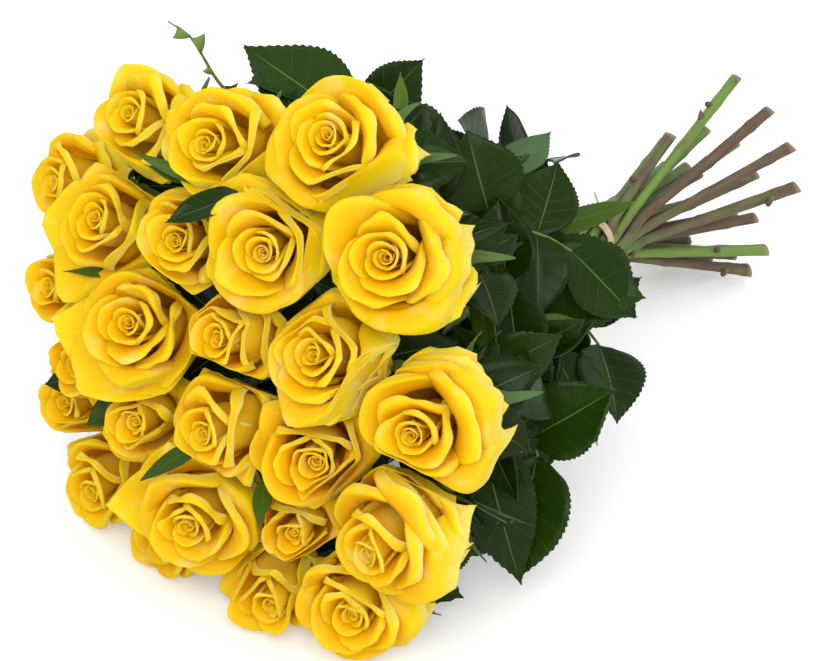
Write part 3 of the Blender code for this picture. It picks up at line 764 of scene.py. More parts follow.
def make_rose(index):
    """A rose of separate petals, each wound round the ones before it and pressed by the neighbours."""
    rose = ROSES[index]
    openness, count, turn, tint = ROSE_LOOKS[index]
    rng = np.random.default_rng(100 + index)
    radius, length = rose["width"] / 2, rose["length"]
    up, side = frame_about(rose["direction"])
    planes = PLANES[index]
    petals = []
    for k in range(count):
        layer = (k / (count - 1)) ** HEART_CROWDING
        around = math.radians(turn) + GOLDEN_ANGLE * k + rng.normal(0, 0.10)
        petals.append((around, layer, float(smooth(0.2, 0.7, layer)), petal_form(layer, openness, rng)))
    for clock, reach, drop, width, point in FLOPS.get(index + 1, ()):
        way = heading(math.radians(clock), VIEW_RIGHT, VIEW_UP)
        around = math.atan2(way @ side, way @ up)
        form = [*FLOP_WALL, reach, drop, width, *FLOP_WAVE, point, 1.0]
        petals.append((around, FLOP_LAYER, 1.0, form))
    for k in range(UNDER_PETALS):
        around = math.radians(turn) + math.tau * (k + rng.normal(0, 0.1)) / UNDER_PETALS
        rooms = []
        for angle in around + np.radians(UNDER_LOOK):
            way = heading(angle, up, side)
            rooms.append(min(limit / max(way @ direction, 0.2) for direction, limit in planes) / radius)
        if rooms[2] < UNDER_ROOM:
            enclosed = max(rooms[0], rooms[4]) < ENCLOSED_ROOM
            rim = min(max(rooms[1:4]), UNDER_MOST) if enclosed else UNDER_SHORT
            lip = (max(rim, 1.0) - UNDER_STAND) / LIP_REACH
            wall = (UNDER_STAND, rng.uniform(*UNDER_CREST), UNDER_DIP)
            form = [*wall, lip, UNDER_FALL, UNDER_WIDTH, *UNDER_WAVE, UNDER_POINT, 1.0]
            petals.append((around, 1.0, UNDER_FINENESS, form))
    shape = Shape()
    sway = rng.uniform(-HEART_SWAY, HEART_SWAY, 2)
    oval = rng.uniform(-OVAL, OVAL)
    for k, (around, layer, fine, form) in enumerate(petals):
        local, reach, across = petal_grid(form, radius, length, fine, rng)
        first = heading(around, up, side)
        second = heading(around, side, -up)
        grid = local @ np.array((first, second, rose["direction"]))
        grid = grid + (local[..., 2:] * (1 - layer)) * (sway[0] * up + sway[1] * side)
        grid = grid + (grid @ up)[..., None] * oval * up - (grid @ side)[..., None] * oval * side
        waves = np.sin(rng.uniform(3, 6) * across / radius + rng.uniform(0, math.tau))
        inset = radius * (PRESS_INSET * (1 - layer) + PRESS_WAVE * (1 + waves))
        grid = grid + rose["base"]
        if k < count:
            grid = gather(grid, rose["middle"], rose["direction"], radius)
        grid = press(grid, rose["middle"], planes, inset)
        sheet = np.stack((across, reach * length, np.full_like(across, k + 40 * index)), axis=-1)
        shade = np.stack((reach, np.full_like(reach, layer), np.ones_like(reach)), axis=-1)
        shape.add_sheet(grid, PETAL_THICKNESS * (1 - RIM_THINNING * reach**8), sheet, shade)
    shape.piece(f"rose_{index + 1:02d}", PETAL, "petals", [f"bloom_{index + 1:02d}"], tint)


# --- stems ---

STEM_STEP = 0.005
TUBE_SIDES = 12
HIP_LENGTH = 0.009
HIP_RADIUS = 0.0052
CUT_SLANT = math.radians(24)
SEPALS = 5
SEPAL_BEND = (-15, 75)  # in degrees, away from the bloom
SEPAL_LENGTH = (0.48, 0.66)  # as shares of the bloom's width
SEPAL_SHAPE = 0.072
SEPAL_THICKNESS = 0.0007
KNOT_SPACING = (0.038, 0.062)
KNOT_SWELLING = 0.16
MOST_HEEL = 0.28  # how much thicker a stem can be at its cut end
THORN_SIZE = (0.0035, 0.006)
STUB_SIZE = (0.005, 0.013)
STUB_RADII = (0.0024, 0.0019)
STUB_CHANCE = 0.3
# Each stem: how fresh a green it is, and how brown its bark is towards the cut end.
STEM_LOOKS = (
    (0.30, 0.50),
    (0.50, 0.20),
    (0.20, 0.90),
    (0.30, 0.60),
    (0.40, 0.30),
    (0.60, 0.30),
    (0.20, 0.70),
    (0.50, 0.40),
    (0.90, 0.10),
    (0.30, 0.60),
    (0.20, 0.80),
    (0.30, 0.60),
    (1.00, 0.00),
    (0.55, 0.35),
    (0.60, 0.10),
    (0.80, 0.10),
    (0.30, 0.50),
    (1.00, 0.00),
    (0.30, 0.60),
    (0.35, 0.60),
    (0.60, 0.20),
    (0.20, 0.80),
    (0.30, 0.75),
    (0.20, 0.95),
    (0.25, 0.70),
)


def rings_along(points, radii, sides=TUBE_SIDES, flute=0.0, phase=0.0):
    """Rings of points round a line, with frames that turn as little as they can."""
    tangents = unit_rows(np.gradient(points, axis=0))
    first, _ = frame_about(tangents[0])
    angles = np.arange(sides) * math.tau / sides + phase
    rings = []
    for point, tangent, radius in zip(points, tangents, radii):
        first = unit(first - (first @ tangent) * tangent)
        second = np.cross(tangent, first)
        size = radius * (1 + flute * np.cos(3 * angles))[:, None]
        rings.append(point + size * (np.cos(angles)[:, None] * first + np.sin(angles)[:, None] * second))
    return np.array(rings)


def stem_line(index):
    """A stem's smooth middle line from its cut end to the top of its hip.

    With it come how far along each point is, how far along the hip starts, and the radii.
    """
    middles, radii = STEMS[index]
    rose = ROSES[index]
    neck = rose["base"] - rose["direction"] * (HIP_LENGTH + SEAT_GAP)
    keys = np.vstack((middles, neck, rose["base"] - rose["direction"] * SEAT_GAP))
    reach = travelled(np.linalg.norm(np.diff(keys, axis=0), axis=1))
    count = int(reach[-1] / STEM_STEP)
    travel = np.linspace(0, reach[-1], count)
    shares = np.interp(travel, reach, np.linspace(0, 1, len(keys)))
    points = spline(keys, shares)
    return points, travel, reach[-2], np.interp(travel, reach, [*radii, radii[-1], radii[-1]])


def tag_grid(grid, first, second, third):
    """One tag vector for each point of a grid, from three numbers or arrays."""
    return np.stack([np.broadcast_to(tag, grid.shape[:2]) for tag in (first, second, third)], axis=-1)


def add_thorn(shape, root, outward, along, size, tags):
    """A thorn: a curved cone, long at its foot, whose tip points back down the stem."""
    share = np.linspace(0, 1, 6)[:, None]
    points = root + outward * size * (share * 1.1 - 0.1) - along * size * 0.5 * share**2
    rings = rings_along(points, size * 0.42 * (1 - share[:, 0]) ** 0.8 + 0.0001, 8)
    stretch = (rings - points[:, None]) @ along
    rings = rings + stretch[..., None] * along * 0.9
    shape.add_tube(rings, *tags)


def add_stub(shape, root, along, outward, size, travel, index, green):
    """What is left of a cut side shoot, brown towards its end."""
    share = np.linspace(0, 1, 6)[:, None]
    line = root + (along * 0.8 + outward * 0.75) * size * share + outward * 0.001
    rings = rings_along(line, lerp(*STUB_RADII, share[:, 0]), 9)
    brown = np.clip(share[:, 0] * 2 - 0.6, 0, 1)[:, None]
    tags = tag_grid(rings, 0.2, travel + share * size, index), tag_grid(rings, brown, 0, green)
    shape.add_tube(rings, *tags)


def ways_off(points, k, rng):
    """The way a line runs at this point, and a random way off it."""
    along = unit(points[k + 1] - points[k])
    return along, unit(np.cross(along, rng.normal(size=3)))


def add_sepal(shape, rose, planes, around, bend, length, tags, rng):
    """A long pointed sepal from the top of the hip, out under the bloom or bent back from it."""
    up, side = frame_about(rose["direction"])
    outward = heading(around, up, side)
    tangential = heading(around, side, -up)
    share = np.linspace(0, 1, 15)
    tilt = math.radians(88) + bend * share**0.8
    stride = length / (len(share) - 1)
    out = 0.0035 + travelled(np.sin(tilt[:-1]) * stride)
    rise = travelled(np.cos(tilt[:-1]) * stride) - 0.0012
    sway = rng.normal(0, 0.004) * share**2
    line = rose["base"] + out[:, None] * outward + rise[:, None] * rose["direction"]
    line = line + sway[:, None] * tangential
    half = length * SEPAL_SHAPE * np.sin(math.pi * np.clip(share * 0.72 + 0.28, 0, 1)) ** 0.8 + 0.0004
    lobes = half * (1 + 0.5 * np.clip(np.sin(share * 17), 0, 1) * (share > 0.3) * (share < 0.7))
    u = np.linspace(-1, 1, 5)
    back = unit_rows(np.cross(np.gradient(line, axis=0), tangential))
    grid = line[None] + u[:, None, None] * lobes[None, :, None] * tangential
    grid = grid + (np.abs(u)[:, None] * half[None] * 0.35)[..., None] * back[None]
    shape.add_sheet(press(grid, rose["middle"], planes, CELL_INSET), SEPAL_THICKNESS, *tags)


def make_stem(index):
    """A stem with its knuckles, thorns, the stubs of cut side shoots, its slanting cut end and its hip."""
    rng = np.random.default_rng(300 + index)
    points, travel, neck, radii = stem_line(index)
    green, brown = STEM_LOOKS[index]
    # Knuckles where leaves once grew, a thicker heel, and the swelling hip under the bloom.
    knots = [rng.uniform(0.012, 0.04)]
    while knots[-1] < neck - 0.03:
        knots.append(knots[-1] + rng.uniform(*KNOT_SPACING))
    swelling = np.zeros_like(travel)
    scar = np.zeros_like(travel)
    for knot in knots:
        swelling += KNOT_SWELLING * hump(travel, knot, 0.004)
        scar += hump(travel, knot, 0.0035)
    heel = rng.uniform(0.0, MOST_HEEL) * hump(travel, 0, 0.012)
    hip = np.clip((travel - neck) / HIP_LENGTH, 0, 1)
    radii = radii * (1 + swelling + heel)
    radii = np.maximum(radii, HIP_RADIUS * np.sqrt(np.clip(hip * (1.7 - 0.75 * hip), 0, 1)))
    rings = rings_along(points, radii, flute=0.03, phase=rng.uniform(0, 1))
    tangent = unit(points[1] - points[0])
    cut_up, _ = frame_about(tangent)
    rings[0] += ((rings[0] - points[0]) @ cut_up * math.tan(CUT_SLANT))[:, None] * tangent
    shape = Shape()
    angles = np.arange(TUBE_SIDES) / TUBE_SIDES
    fresh = smooth(0.18, 0.45, travel / travel[-1])
    aged = np.clip(brown * (1 - fresh) + 0.30 * scar + 0.5 * hump(travel, 0, 0.005), 0, 1)
    sheet = tag_grid(rings, angles[None], travel[:, None], index)
    lively = np.clip(green + 0.4 * fresh, 0, 1)
    shade = tag_grid(rings, aged[:, None], (travel < 1e-6)[:, None], lively[:, None])
    shape.add_tube(rings, sheet, shade)
    # Thorns and the stubs of cut side shoots.
    for _ in range(rng.integers(1, 4)):
        k = rng.integers(6, len(points) - 12)
        along, outward = ways_off(points, k, rng)
        root = points[k] + outward * radii[k]
        tags = ((0, travel[k], index), (0.75, 0, 0.2))
        add_thorn(shape, root, outward, along, rng.uniform(*THORN_SIZE), tags)
    for knot in knots[:3]:
        if rng.uniform() < STUB_CHANCE:
            k = int(np.searchsorted(travel, knot))
            along, outward = ways_off(points, k, rng)
            add_stub(shape, points[k], along, outward, rng.uniform(*STUB_SIZE), knot, index, green)
    shape.piece(f"rose_stem_{index + 1:02d}", STEM, "stems", [f"stem_{index + 1:02d}"])


def make_sepals(index):
    """The ring of sepals on one hip."""
    rose = ROSES[index]
    rng = np.random.default_rng(400 + index)
    planes = PLANES[index]
    shape = Shape()
    for k in range(SEPALS):
        around = math.tau * (k + rng.normal(0, 0.07)) / SEPALS
        bend = math.radians(rng.uniform(*SEPAL_BEND))
        reach = rose["width"] * rng.uniform(*SEPAL_LENGTH)
        tags = ((0.5, 0.2, 0), (rng.uniform(0.15, 0.5), 0.5, 0))
        add_sepal(shape, rose, planes, around, bend, reach, tags, rng)
    shape.piece(f"sepals_{index + 1:02d}", LEAF, "leaves")


# --- leaves ---


def bow(root, elbow, tip, share):
    """A point on the curve that leaves its root towards the elbow and bends over to its tip."""
    return (1 - share) ** 2 * root + 2 * share * (1 - share) * elbow + share**2 * tip


def leaf_frames(root, lead, tip, face, blade, steps):
    """Points and frames along a rachis that leaves its stem one way and bends over to its tip."""
    reach = np.linalg.norm(tip - root)
    elbow = root + lead * reach * LEAF_LEAD
    end = 1.0
    while end > SHORTEST_RACHIS and np.linalg.norm(tip - bow(root, elbow, tip, end)) < blade:
        end -= BOW_STEP
    frames = []
    for share in np.linspace(0, end, steps + 1):
        point = bow(root, elbow, tip, share)
        onward = tip if share == end else bow(root, elbow, tip, share + BOW_STEP)
        forward = unit(onward - point)
        side = unit(np.cross(face, forward))
        frames.append((point, forward, np.cross(forward, side)))
    return frames


# Half the width of a leaflet, as a share of its greatest, at shares of its length.
LEAFLET_OUTLINE = np.array(
    (
        (0.0, 0.02),
        (0.05, 0.36),
        (0.16, 0.78),
        (0.32, 0.98),
        (0.5, 0.98),
        (0.68, 0.76),
        (0.82, 0.44),
        (0.91, 0.20),
        (0.96, 0.07),
        (1.0, 0.0),
    )
)
OUTLINE_SHARES = np.linspace(0, 1, len(LEAFLET_OUTLINE))


def leaflet(shape, origin, forward, normal, length, looks, rng, columns, rows, breadth=LEAFLET_SHAPE):
    """One leaflet: serrated, folded up along its midrib, puffed between its veins."""
    side = np.cross(normal, forward)
    age, tone = looks
    u = np.linspace(-1, 1, columns)[:, None]
    share = np.linspace(0, 1, rows)[None, :]
    outline = spline(LEAFLET_OUTLINE, np.interp(share[0], LEAFLET_OUTLINE[:, 0], OUTLINE_SHARES))[:, 1]
    saw = np.where(np.arange(rows) % 2 == 0, 1.0, 0.0) * smooth(0.05, 0.2, share[0])
    edge = np.abs(u) == 1
    half = np.maximum(outline, 0.008) * breadth * length * (1 + LEAFLET_TEETH * saw * edge)
    along = share * length + edge * saw * 0.45 * length / rows
    x = u * half
    fold = rng.uniform(0.6, 1.3) * LEAFLET_FOLD
    curl = rng.uniform(0.6, 1.8) * LEAFLET_CURL
    lift = fold * np.abs(x) - curl * length * share**2
    veins = (share - np.abs(u) * VEIN_SLANT) * VEINS
    puff = LEAFLET_PUFF * length * (0.5 - np.abs(veins % 1 - 0.5) - 0.25) * -4
    lift = lift + puff * np.abs(u) * (1 - u**2)
    wave = rng.uniform(*LEAFLET_WAVE) * length
    lift = lift + wave * u**2 * random_wave(rng, 7, 11, share) * np.sign(u)
    sway = rng.normal(0, 0.05) * length * share**2
    grid = origin + along[..., None] * forward + (x + sway)[..., None] * side + lift[..., None] * normal
    sheet = tag_grid(grid, u, share, 0)
    shade = tag_grid(grid, age, tone, 1)
    shape.add_sheet(grid, SHEET_THICKNESS, sheet, shade)


def add_leaf(shape, root, lead, tip, face, blade, pairs, looks, rng, fineness):
    """A compound leaf: the rachis, its pairs of leaflets and the one at its end."""
    steps = 2 * pairs + 2
    frames = leaf_frames(root, lead, tip, face, blade, steps)
    line = np.array([root - lead * 0.002, *(point for point, _, _ in frames)])
    points = spline(line, np.linspace(0, 1, 14))
    rings = rings_along(points, np.linspace(*RACHIS_RADII, len(points)), 7)
    shape.add_tube(rings, (0, 0.02, 0), (0.5, looks[1], 0))
    for pair in range(pairs):
        k = steps - 2 - 2 * pair
        point, forward, normal = frames[k]
        onward = frames[k + 1][0]
        side = np.cross(normal, forward)
        size = blade * (PAIR_SIZE - PAIR_LESS * pair)
        for sign in (1, -1):
            way = math.cos(PAIR_TURN) * forward + sign * math.sin(PAIR_TURN) * side
            leaflet(shape, (point + onward) / 2, way, normal, size, looks, rng, **fineness)
    point, forward, normal = frames[-1]
    leaflet(shape, point, forward, normal, blade, looks, rng, **fineness)


def stem_place(rose, station):
    """The middle of a stem here, the way it runs, and the way off it from the bouquet's axis."""
    middles, radii = STEMS[rose - 1]
    stations = (middles - CROSSING) @ AXIS
    here = np.array([np.interp(station, stations, m) for m in middles.T])
    ahead = np.array([np.interp(station + 0.01, stations, m) for m in middles.T])
    along = unit(ahead - here)
    lateral = here - CROSSING
    lateral = lateral - (lateral @ AXIS) * AXIS
    outward = unit(lateral - (lateral @ along) * along)
    return here, along, outward, np.interp(station, stations, radii)


def make_leaf(number):
    """One of the CAD's leaves, with its rachis and its leaflets."""
    rose, station, along, off, around, blade, twist, pairs = LEAVES[number]
    rng = np.random.default_rng(500 + number)
    middle, _, outward, radius = stem_place(rose, station)
    root = middle + outward * (radius + SEAT_GAP + LEAF_THICKNESS / 2)
    tip = around_axis(along, off, around)
    face = turned(unit(outward + FACE_FORWARD * AXIS + FACE_LIGHT * LIGHT), tip - root, math.radians(twist))
    shape = Shape()
    looks = (0.0, rng.uniform(0.1, 0.5))
    add_leaf(shape, root, outward, tip, face, blade, pairs, looks, rng, FINE)
    shape.piece(f"rose_leaf_{number + 1:02d}", LEAF, "leaves", [f"leaf_{number + 1:02d}"])


SPRAY_STALK = 0.02  # how far behind a spray's foot its stalk leaves a stem
STALK_RADII = (0.0013, 0.0007)
BLOOM_ROOM = 1.04  # how far leaves keep off a bloom's middle, as a share of its radius
LEAST_HEIGHT = 0.001  # of a leaf over the floor
COLLAR_LEAVES = 6  # single leaves under each bloom
COLLAR_LENGTH = 0.62  # as a share of the bloom's width
CELL_INSET = 0.002  # how far sepals and collar leaves keep from the planes between blooms
FILLER_STATIONS = (0.16, 0.195, 0.23, 0.26, 0.285)  # where a stem may bear a smaller leaf
FILLER_SKIPS = 0.25  # the share of those that it doesn't bear
FILLER_REACH = (0.040, 0.060)
FILLER_BLADE = (0.030, 0.042)


def make_foliage(index):
    """The smaller leaves of one stem, which fill the fan behind the blooms, and those under its bloom."""
    rng = np.random.default_rng(700 + index)
    shape = Shape()
    for station in FILLER_STATIONS:
        if rng.uniform() < FILLER_SKIPS:
            continue
        station = station + rng.uniform(-0.01, 0.01)
        middle, along, outward, radius = stem_place(index + 1, station)
        around = np.cross(along, outward)
        lead = unit(outward * rng.uniform(0.3, 1.0) + around * rng.uniform(-1, 1))
        root = middle + lead * radius
        reach = rng.uniform(*FILLER_REACH)
        way = lead * rng.uniform(0.7, 1.1) + AXIS * rng.uniform(-0.1, 0.7) + UP * rng.uniform(-0.5, 0.1)
        tip = root + unit(way) * reach
        face = unit(outward + 0.4 * AXIS + 0.8 * LIGHT + rng.normal(0, 0.3, 3))
        looks = (rng.uniform(0, 0.1), rng.uniform(0, 0.3))
        blade = rng.uniform(*FILLER_BLADE)
        add_leaf(shape, root, lead, tip, face, blade, 1, looks, rng, PLAIN)
    rose = ROSES[index]
    planes = PLANES[index]
    up, side = frame_about(rose["direction"])
    for k in range(COLLAR_LEAVES):
        angle = math.tau * (k + rng.uniform(-0.2, 0.2)) / COLLAR_LEAVES
        lead = heading(angle, up, side)
        foot = rose["base"] - 0.007 * rose["direction"] + 0.003 * lead
        way = unit(lead - rng.uniform(0.2, 0.6) * rose["direction"])
        normal = unit(np.cross(way, np.cross(rose["direction"], way)))
        looks = (0.0, rng.uniform(0, 0.3))
        leaflet(shape, foot, way, normal, rose["width"] * COLLAR_LENGTH, looks, rng, **COARSE)
        shape.points[-1] = press(shape.points[-1], rose["middle"], planes, CELL_INSET)
    shape.points = [clear_of_blooms(points) for points in shape.points]
    shape.piece(f"foliage_{index + 1:02d}", LEAF, "leaves")


# Single leaves and sepals at the dome's edge and between the blooms: where each one's foot and tip are
# (along the axis, off it, degrees around it), half its width as a share of its length, its twist in
# degrees, how light it is and how yellow.
SPRAYS = (
    (0.264, 0.126, 89, 0.283, 0.168, 66, 0.33, 15, 0.7, 0.0),
    (0.248, 0.127, 100, 0.269, 0.150, 88, 0.24, -30, 0.2, 0.0),
    (0.250, 0.100, 116, 0.243, 0.143, 105, 0.36, 10, 0.1, 0.0),
    (0.221, 0.108, 127, 0.230, 0.138, 111, 0.50, 0, 0.35, 0.0),
    (0.229, 0.104, 148, 0.227, 0.123, 127, 0.40, -12, 0.0, 0.0),
    (0.184, 0.103, 113, 0.135, 0.115, 112, 0.28, 150, 0.3, 0.0),
    (0.182, 0.099, 121, 0.142, 0.109, 118, 0.30, 25, 0.2, 0.1),
    (0.243, 0.112, 141, 0.269, 0.123, 122, 0.28, 30, 0.0, 0.0),
    (0.180, 0.080, 150, 0.150, 0.136, 162, 0.42, 0, 0.55, 0.0),
    (0.208, 0.102, 170, 0.183, 0.112, 164, 0.36, 0, 0.8, 0.45),
    (0.187, 0.100, 176, 0.194, 0.144, 193, 0.36, -15, 0.5, 0.0),
    (0.250, 0.104, 144, 0.275, 0.117, 168, 0.14, 40, 0.4, 0.25),
    (0.227, 0.102, 152, 0.250, 0.120, 173, 0.36, 5, 0.1, 0.0),
    (0.269, 0.112, 186, 0.268, 0.176, 213, 0.22, 0, 0.15, 0.0),
    (0.272, 0.118, 185, 0.275, 0.149, 196, 0.24, 35, 0.0, 0.0),
    (0.290, 0.128, 206, 0.301, 0.150, 221, 0.36, -10, 0.2, 0.0),
    (0.203, 0.098, 177, 0.219, 0.133, 197, 0.13, 20, 0.1, 0.0),
    (0.152, 0.076, 134, 0.090, 0.110, 139, 0.11, 35, 1.0, 0.25),
    (0.204, 0.086, 162, 0.259, 0.108, 190, 0.30, -20, 0.0, 0.0),
    (0.193, 0.085, 164, 0.222, 0.114, 191, 0.32, 20, 0.0, 0.0),
    (0.232, 0.097, 129, 0.224, 0.103, 162, 0.34, -10, 0.0, 0.0),
    (0.360, 0.107, 94, 0.392, 0.095, 82, 0.22, 20, 0.3, 0.0),
    (0.345, 0.082, 330, 0.366, 0.102, 325, 0.30, 0, 0.6, 0.1),
    (0.345, 0.118, 338, 0.361, 0.133, 339, 0.34, 0, 0.2, 0.0),
    (0.352, 0.105, 69, 0.373, 0.117, 67, 0.14, 20, 0.6, 0.35),
    (0.352, 0.104, 79, 0.376, 0.124, 64, 0.08, -20, 0.6, 0.35),
    (0.350, 0.085, 20, 0.366, 0.114, 15, 0.09, 20, 0.6, 0.35),
    (0.380, 0.030, 245, 0.402, 0.048, 281, 0.14, 10, 0.2, 0.2),
    (0.366, 0.060, 218, 0.388, 0.081, 215, 0.17, 10, 0.4, 0.3),
    (0.257, 0.128, 101, 0.259, 0.160, 98, 0.16, 40, 0.9, 0.6),
    (0.262, 0.120, 97, 0.268, 0.150, 93, 0.12, -30, 0.9, 0.6),
    (0.309, 0.029, 2, 0.327, 0.090, 25, 0.42, 0, 0.0, 0.0),
    (0.303, 0.035, 352, 0.336, 0.069, 329, 0.42, 0, 0.0, 0.0),
)


def make_spray(number):
    """One leaf on a thin stalk that leaves the nearest stem."""
    row = SPRAYS[number]
    rng = np.random.default_rng(800 + number)
    base, tip = around_axis(*row[:3]), around_axis(*row[3:6])
    breadth, twist, tone, age = row[6:]
    places = [stem_place(k + 1, row[0] - SPRAY_STALK) for k in range(ROSE_COUNT)]
    middle, along, _, _ = min(places, key=lambda spot: np.linalg.norm(spot[0] - base))
    length = np.linalg.norm(tip - base)
    forward = (tip - base) / length
    elbow = middle + along * np.linalg.norm(base - middle) * 0.5
    share = np.linspace(0, 1, 10)[:, None]
    stalk = bow(middle, elbow, base + forward * 0.001, share)
    shape = Shape()
    rings = rings_along(stalk, np.linspace(*STALK_RADII, len(share)), 7)
    shape.add_tube(rings, (0, 0.02, 0), (0.4, 0.5, 0))
    face = turned(unit(VIEW_BACK + 0.3 * UP), forward, math.radians(twist))
    normal = unit(face - (face @ forward) * forward)
    leaflet(shape, base, forward, normal, length, (age, tone), rng, breadth=breadth, **FINE)
    shape.piece(f"spray_{number + 1:02d}", LEAF, "leaves")


def clear_of_blooms(points):
    """Moves points that lie in a bloom out to its surface, and off the floor."""
    points = points.copy()
    for rose in ROSES:
        off = points - rose["middle"]
        distance = np.linalg.norm(off, axis=1, keepdims=True) + 1e-9
        radius = rose["width"] / 2 * BLOOM_ROOM
        points += np.where(distance < radius, off / distance * (radius - distance), 0)
    points[:, 2] = np.maximum(points[:, 2], LEAST_HEIGHT)
    return points


# The shoot's line as places along the axis, off it and around it, and each bud's share and size.
TWIG = (
    (0.300, 0.138, 68),
    (0.310, 0.152, 67),
    (0.321, 0.168, 68),
    (0.327, 0.178, 68),
    (0.334, 0.188, 66),
)
TWIG_BUDS = ((0.35, 0.004), (0.62, 0.007), (0.80, 0.006))
TWIG_RADII = (0.0011, 0.0004)


def make_twig():
    """A thin shoot with small buds that curves up from behind the highest blooms."""
    line = spline(np.array([around_axis(*spot) for spot in TWIG]), np.linspace(0, 1, 24))
    shape = Shape()
    rings = rings_along(line, np.linspace(*TWIG_RADII, len(line)), 8)
    shape.add_tube(rings, (0, 0.1, 0), (0.35, 0, 0.3))
    for k, (share, size) in enumerate(TWIG_BUDS):
        spot = int(share * len(line))
        along = unit(line[spot + 1] - line[spot])
        outward = unit(np.cross(along, VIEW_BACK)) * (1 if k % 2 else -1)
        add_thorn(shape, line[spot], outward, -along, size, ((0, 0.1, 0), (0.2, 0, 0.6)))
    shape.piece("twig", STEM, "stems")


# --- the raffia tie ---


TIE_CENTRE = tie_points.mean(axis=0)
TURN_SHIFTS = (-0.0024, 0.0001, 0.0025)  # where each turn of the raffia lies along the axis
TURN_POINTS = 120
TURN_SWAY = 0.0009
RAFFIA_HALF = (0.0008, 0.0014)  # half its thickness and half its width
LOOSE_RADII = (0.0011, 0.0005)
# Each loose end: where it leaves the tie in degrees, which way along the axis, and how far it sways.
LOOSE_ENDS = ((96, 1, 0.010), (101, -1, -0.007))


def tie_inside():
    """The inside of the CAD's tie: angles round its middle, and how far out it lies there."""
    lateral = tie_points - TIE_CENTRE
    angle = np.arctan2(lateral @ UP, lateral @ ACROSS)
    reach = np.linalg.norm(lateral - (lateral @ AXIS)[:, None] * AXIS, axis=1)
    angles, inner = [], []
    bins = np.linspace(-math.pi, math.pi, 41)
    for low, high in zip(bins, bins[1:]):
        here = (angle >= low) & (angle < high)
        if here.any():
            angles.append((high + low) / 2)
            inner.append(reach[here].min())
    return angles, inner


def add_turn(shape, inside, number, rng):
    """One turn of raffia round the stems: a flat ring that wanders a little."""
    turn = np.linspace(0, math.tau, TURN_POINTS + 1)[:-1]
    around = (turn + math.pi) % math.tau - math.pi
    out = np.interp(around, *inside, period=math.tau) + 0.0010
    along = TURN_SHIFTS[number] + TURN_SWAY * np.sin(turn * (1 + number) + number)
    line = TIE_CENTRE + out[:, None] * (np.cos(turn)[:, None] * ACROSS + np.sin(turn)[:, None] * UP)
    line = line + along[:, None] * AXIS
    outward = unit_rows(line - TIE_CENTRE - ((line - TIE_CENTRE) @ AXIS)[:, None] * AXIS)
    angles = np.arange(10) * math.tau / 10
    flat = RAFFIA_HALF[0] * np.cos(angles)[None, :, None] * outward[:, None]
    wide = RAFFIA_HALF[1] * np.sin(angles)[None, :, None] * AXIS
    rings = line[:, None] + flat + wide * (1 + 0.1 * rng.normal(size=(len(turn), 1, 1)))
    n, m, _ = rings.shape
    ids = np.arange(n * m).reshape(n, m)
    after = np.roll(ids, -1, axis=0)
    quads = np.stack((ids, np.roll(ids, -1, 1), np.roll(after, -1, 1), after), axis=-1).reshape(-1, 4)
    sheet = tag_grid(rings, angles[None] / math.tau, turn[:, None] * 0.4, number).reshape(-1, 3)
    shape.add(rings.reshape(-1, 3), quads, (), sheet, np.zeros(3))


def add_loose_end(shape, inside, number):
    """A short end of raffia that lifts off the tie and sways to one side."""
    degrees, onward, curl = LOOSE_ENDS[number]
    foot = math.radians(degrees)
    out = np.interp(foot, *inside) + 0.0022
    way = heading(foot, ACROSS, UP)
    across = heading(foot, UP, -ACROSS)
    # How far the end has lifted, run along the axis and swayed at each step.
    steps = (
        (0, 0, 0),
        (0.004, onward * 0.004, 0.002),
        (0.007, onward * 0.011, curl),
        (0.004, onward * 0.019, curl * 1.6),
    )
    path = [TIE_CENTRE + (out + lift) * way + run * AXIS + sway * across for lift, run, sway in steps]
    path = spline(np.array(path), np.linspace(0, 1, 16))
    rings = rings_along(path, np.linspace(*LOOSE_RADII, len(path)), 8)
    sheet = tag_grid(rings, 0.3, np.linspace(0, 0.1, len(path))[:, None], 5 + number)
    shape.add_tube(rings, sheet, (0, 0, 0))


def make_tie():
    """Raffia wound three times round the bundle of stems, with two short loose ends."""
    shape = Shape()
    inside = tie_inside()
    rng = np.random.default_rng(900)
    for number in range(len(TURN_SHIFTS)):
        add_turn(shape, inside, number, rng)
    for number in range(len(LOOSE_ENDS)):
        add_loose_end(shape, inside, number)
    shape.piece("raffia_binding", RAFFIA, "raffia", ["raffia_tie"])


for number in range(ROSE_COUNT):
    make_rose(number)
    make_stem(number)
    make_sepals(number)
    make_foliage(number)
for number in range(len(LEAVES)):
    make_leaf(number)
for number in range(len(SPRAYS)):
    make_spray(number)
make_twig()
make_tie()


# --- camera, light and floor ---

low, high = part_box("raffia_tie")
aim = (np.array(low) + np.array(high)) / 2 + AIM_SHIFT
aim = aim + VIEW_RIGHT * AIM_RIGHT + VIEW_UP * AIM_UP
camera_data = bpy.data.cameras.new("camera")
camera_data.lens = CAMERA_LENS
camera_data.sensor_width = SENSOR_WIDTH
camera = add_object("camera", camera_data)
camera.location = Vector(aim + VIEW_BACK * CAMERA_DISTANCE)
camera.rotation_euler = Vector(VIEW_BACK).to_track_quat("Z", "Y").to_euler()
bpy.context.scene.camera = camera


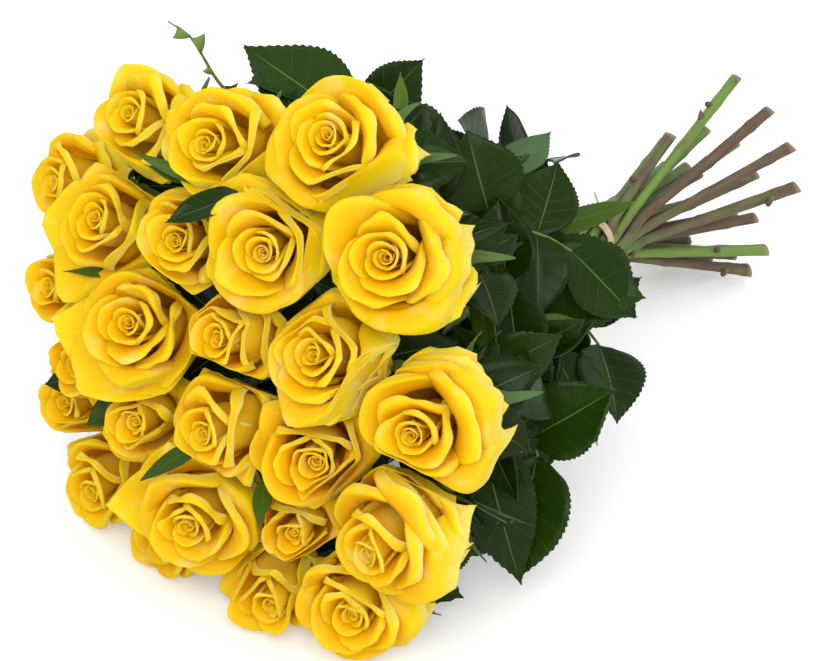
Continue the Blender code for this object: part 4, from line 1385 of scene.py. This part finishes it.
def add_light(name, direction, distance, size, level):
    """A square lamp that lights a surface facing it to this level of white."""
    data = bpy.data.lights.new(name, "AREA")
    data.shape = "SQUARE"
    data.size = size
    data.energy = level * math.pi**2 * distance**2
    lamp = add_object(name, data)
    way = Vector(direction).normalized()
    lamp.location = LAMPS_AIM + way * distance
    lamp.rotation_euler = way.to_track_quat("Z", "Y").to_euler()


for name, values in LAMPS.items():
    add_light(name, *values)

world = bpy.data.worlds.new("studio")
bpy.context.scene.world = world
world.use_nodes = True
tree = world.node_tree


def shown(tree):
    """1 for the rays that show the background: the camera's, and mirrored and refracted ones."""
    path = tree.nodes.new("ShaderNodeLightPath")
    share = path.outputs["Is Camera Ray"]
    for ray in ("Is Glossy Ray", "Is Transmission Ray"):
        either = tree.nodes.new("ShaderNodeMath")
        either.operation = "MAXIMUM"
        tree.links.new(share, either.inputs[0])
        tree.links.new(path.outputs[ray], either.inputs[1])
        share = either.outputs[0]
    return share


level = tree.nodes.new("ShaderNodeMapRange")
level.inputs["To Min"].default_value = SKY_LEVEL
level.inputs["To Max"].default_value = 1.0
tree.links.new(shown(tree), level.inputs["Value"])
tree.links.new(level.outputs[0], tree.nodes["Background"].inputs["Strength"])
tree.nodes["Background"].inputs["Color"].default_value = (1, 1, 1, 1)


def make_floor():
    """A pale floor: one wide sheet with rounded corners, which shows white and keeps the shadow."""
    mesh = bpy.data.meshes.new("floor")
    outline = []
    for k in range(FLOOR_CORNERS):
        angle = math.tau * k / FLOOR_CORNERS
        reach = FLOOR_REACH / (abs(math.cos(angle)) ** 6 + abs(math.sin(angle)) ** 6) ** (1 / 6)
        outline.append((reach * math.cos(angle), reach * math.sin(angle), FLOOR_HEIGHT))
    mesh.from_pydata(outline, [], [tuple(range(FLOOR_CORNERS))])
    n = Nodes("floor")
    n.shader.inputs["Base Color"].default_value = FLOOR_COLOUR
    n.shader.inputs["Roughness"].default_value = 0.8
    n.shader.inputs["Specular IOR Level"].default_value = 0.1
    n.shader.inputs["Emission Color"].default_value = (1, 1, 1, 1)
    n.put(n.shader.inputs["Emission Strength"], n.math("MULTIPLY", shown(n.tree), FLOOR_GLOW))
    mesh.materials.append(n.material)
    floor = add_object("floor", mesh)


make_floor()
bpy.context.scene.view_settings.view_transform = "Standard"


def corners(box):
    return [[float(x) for x in corner] for corner in box]
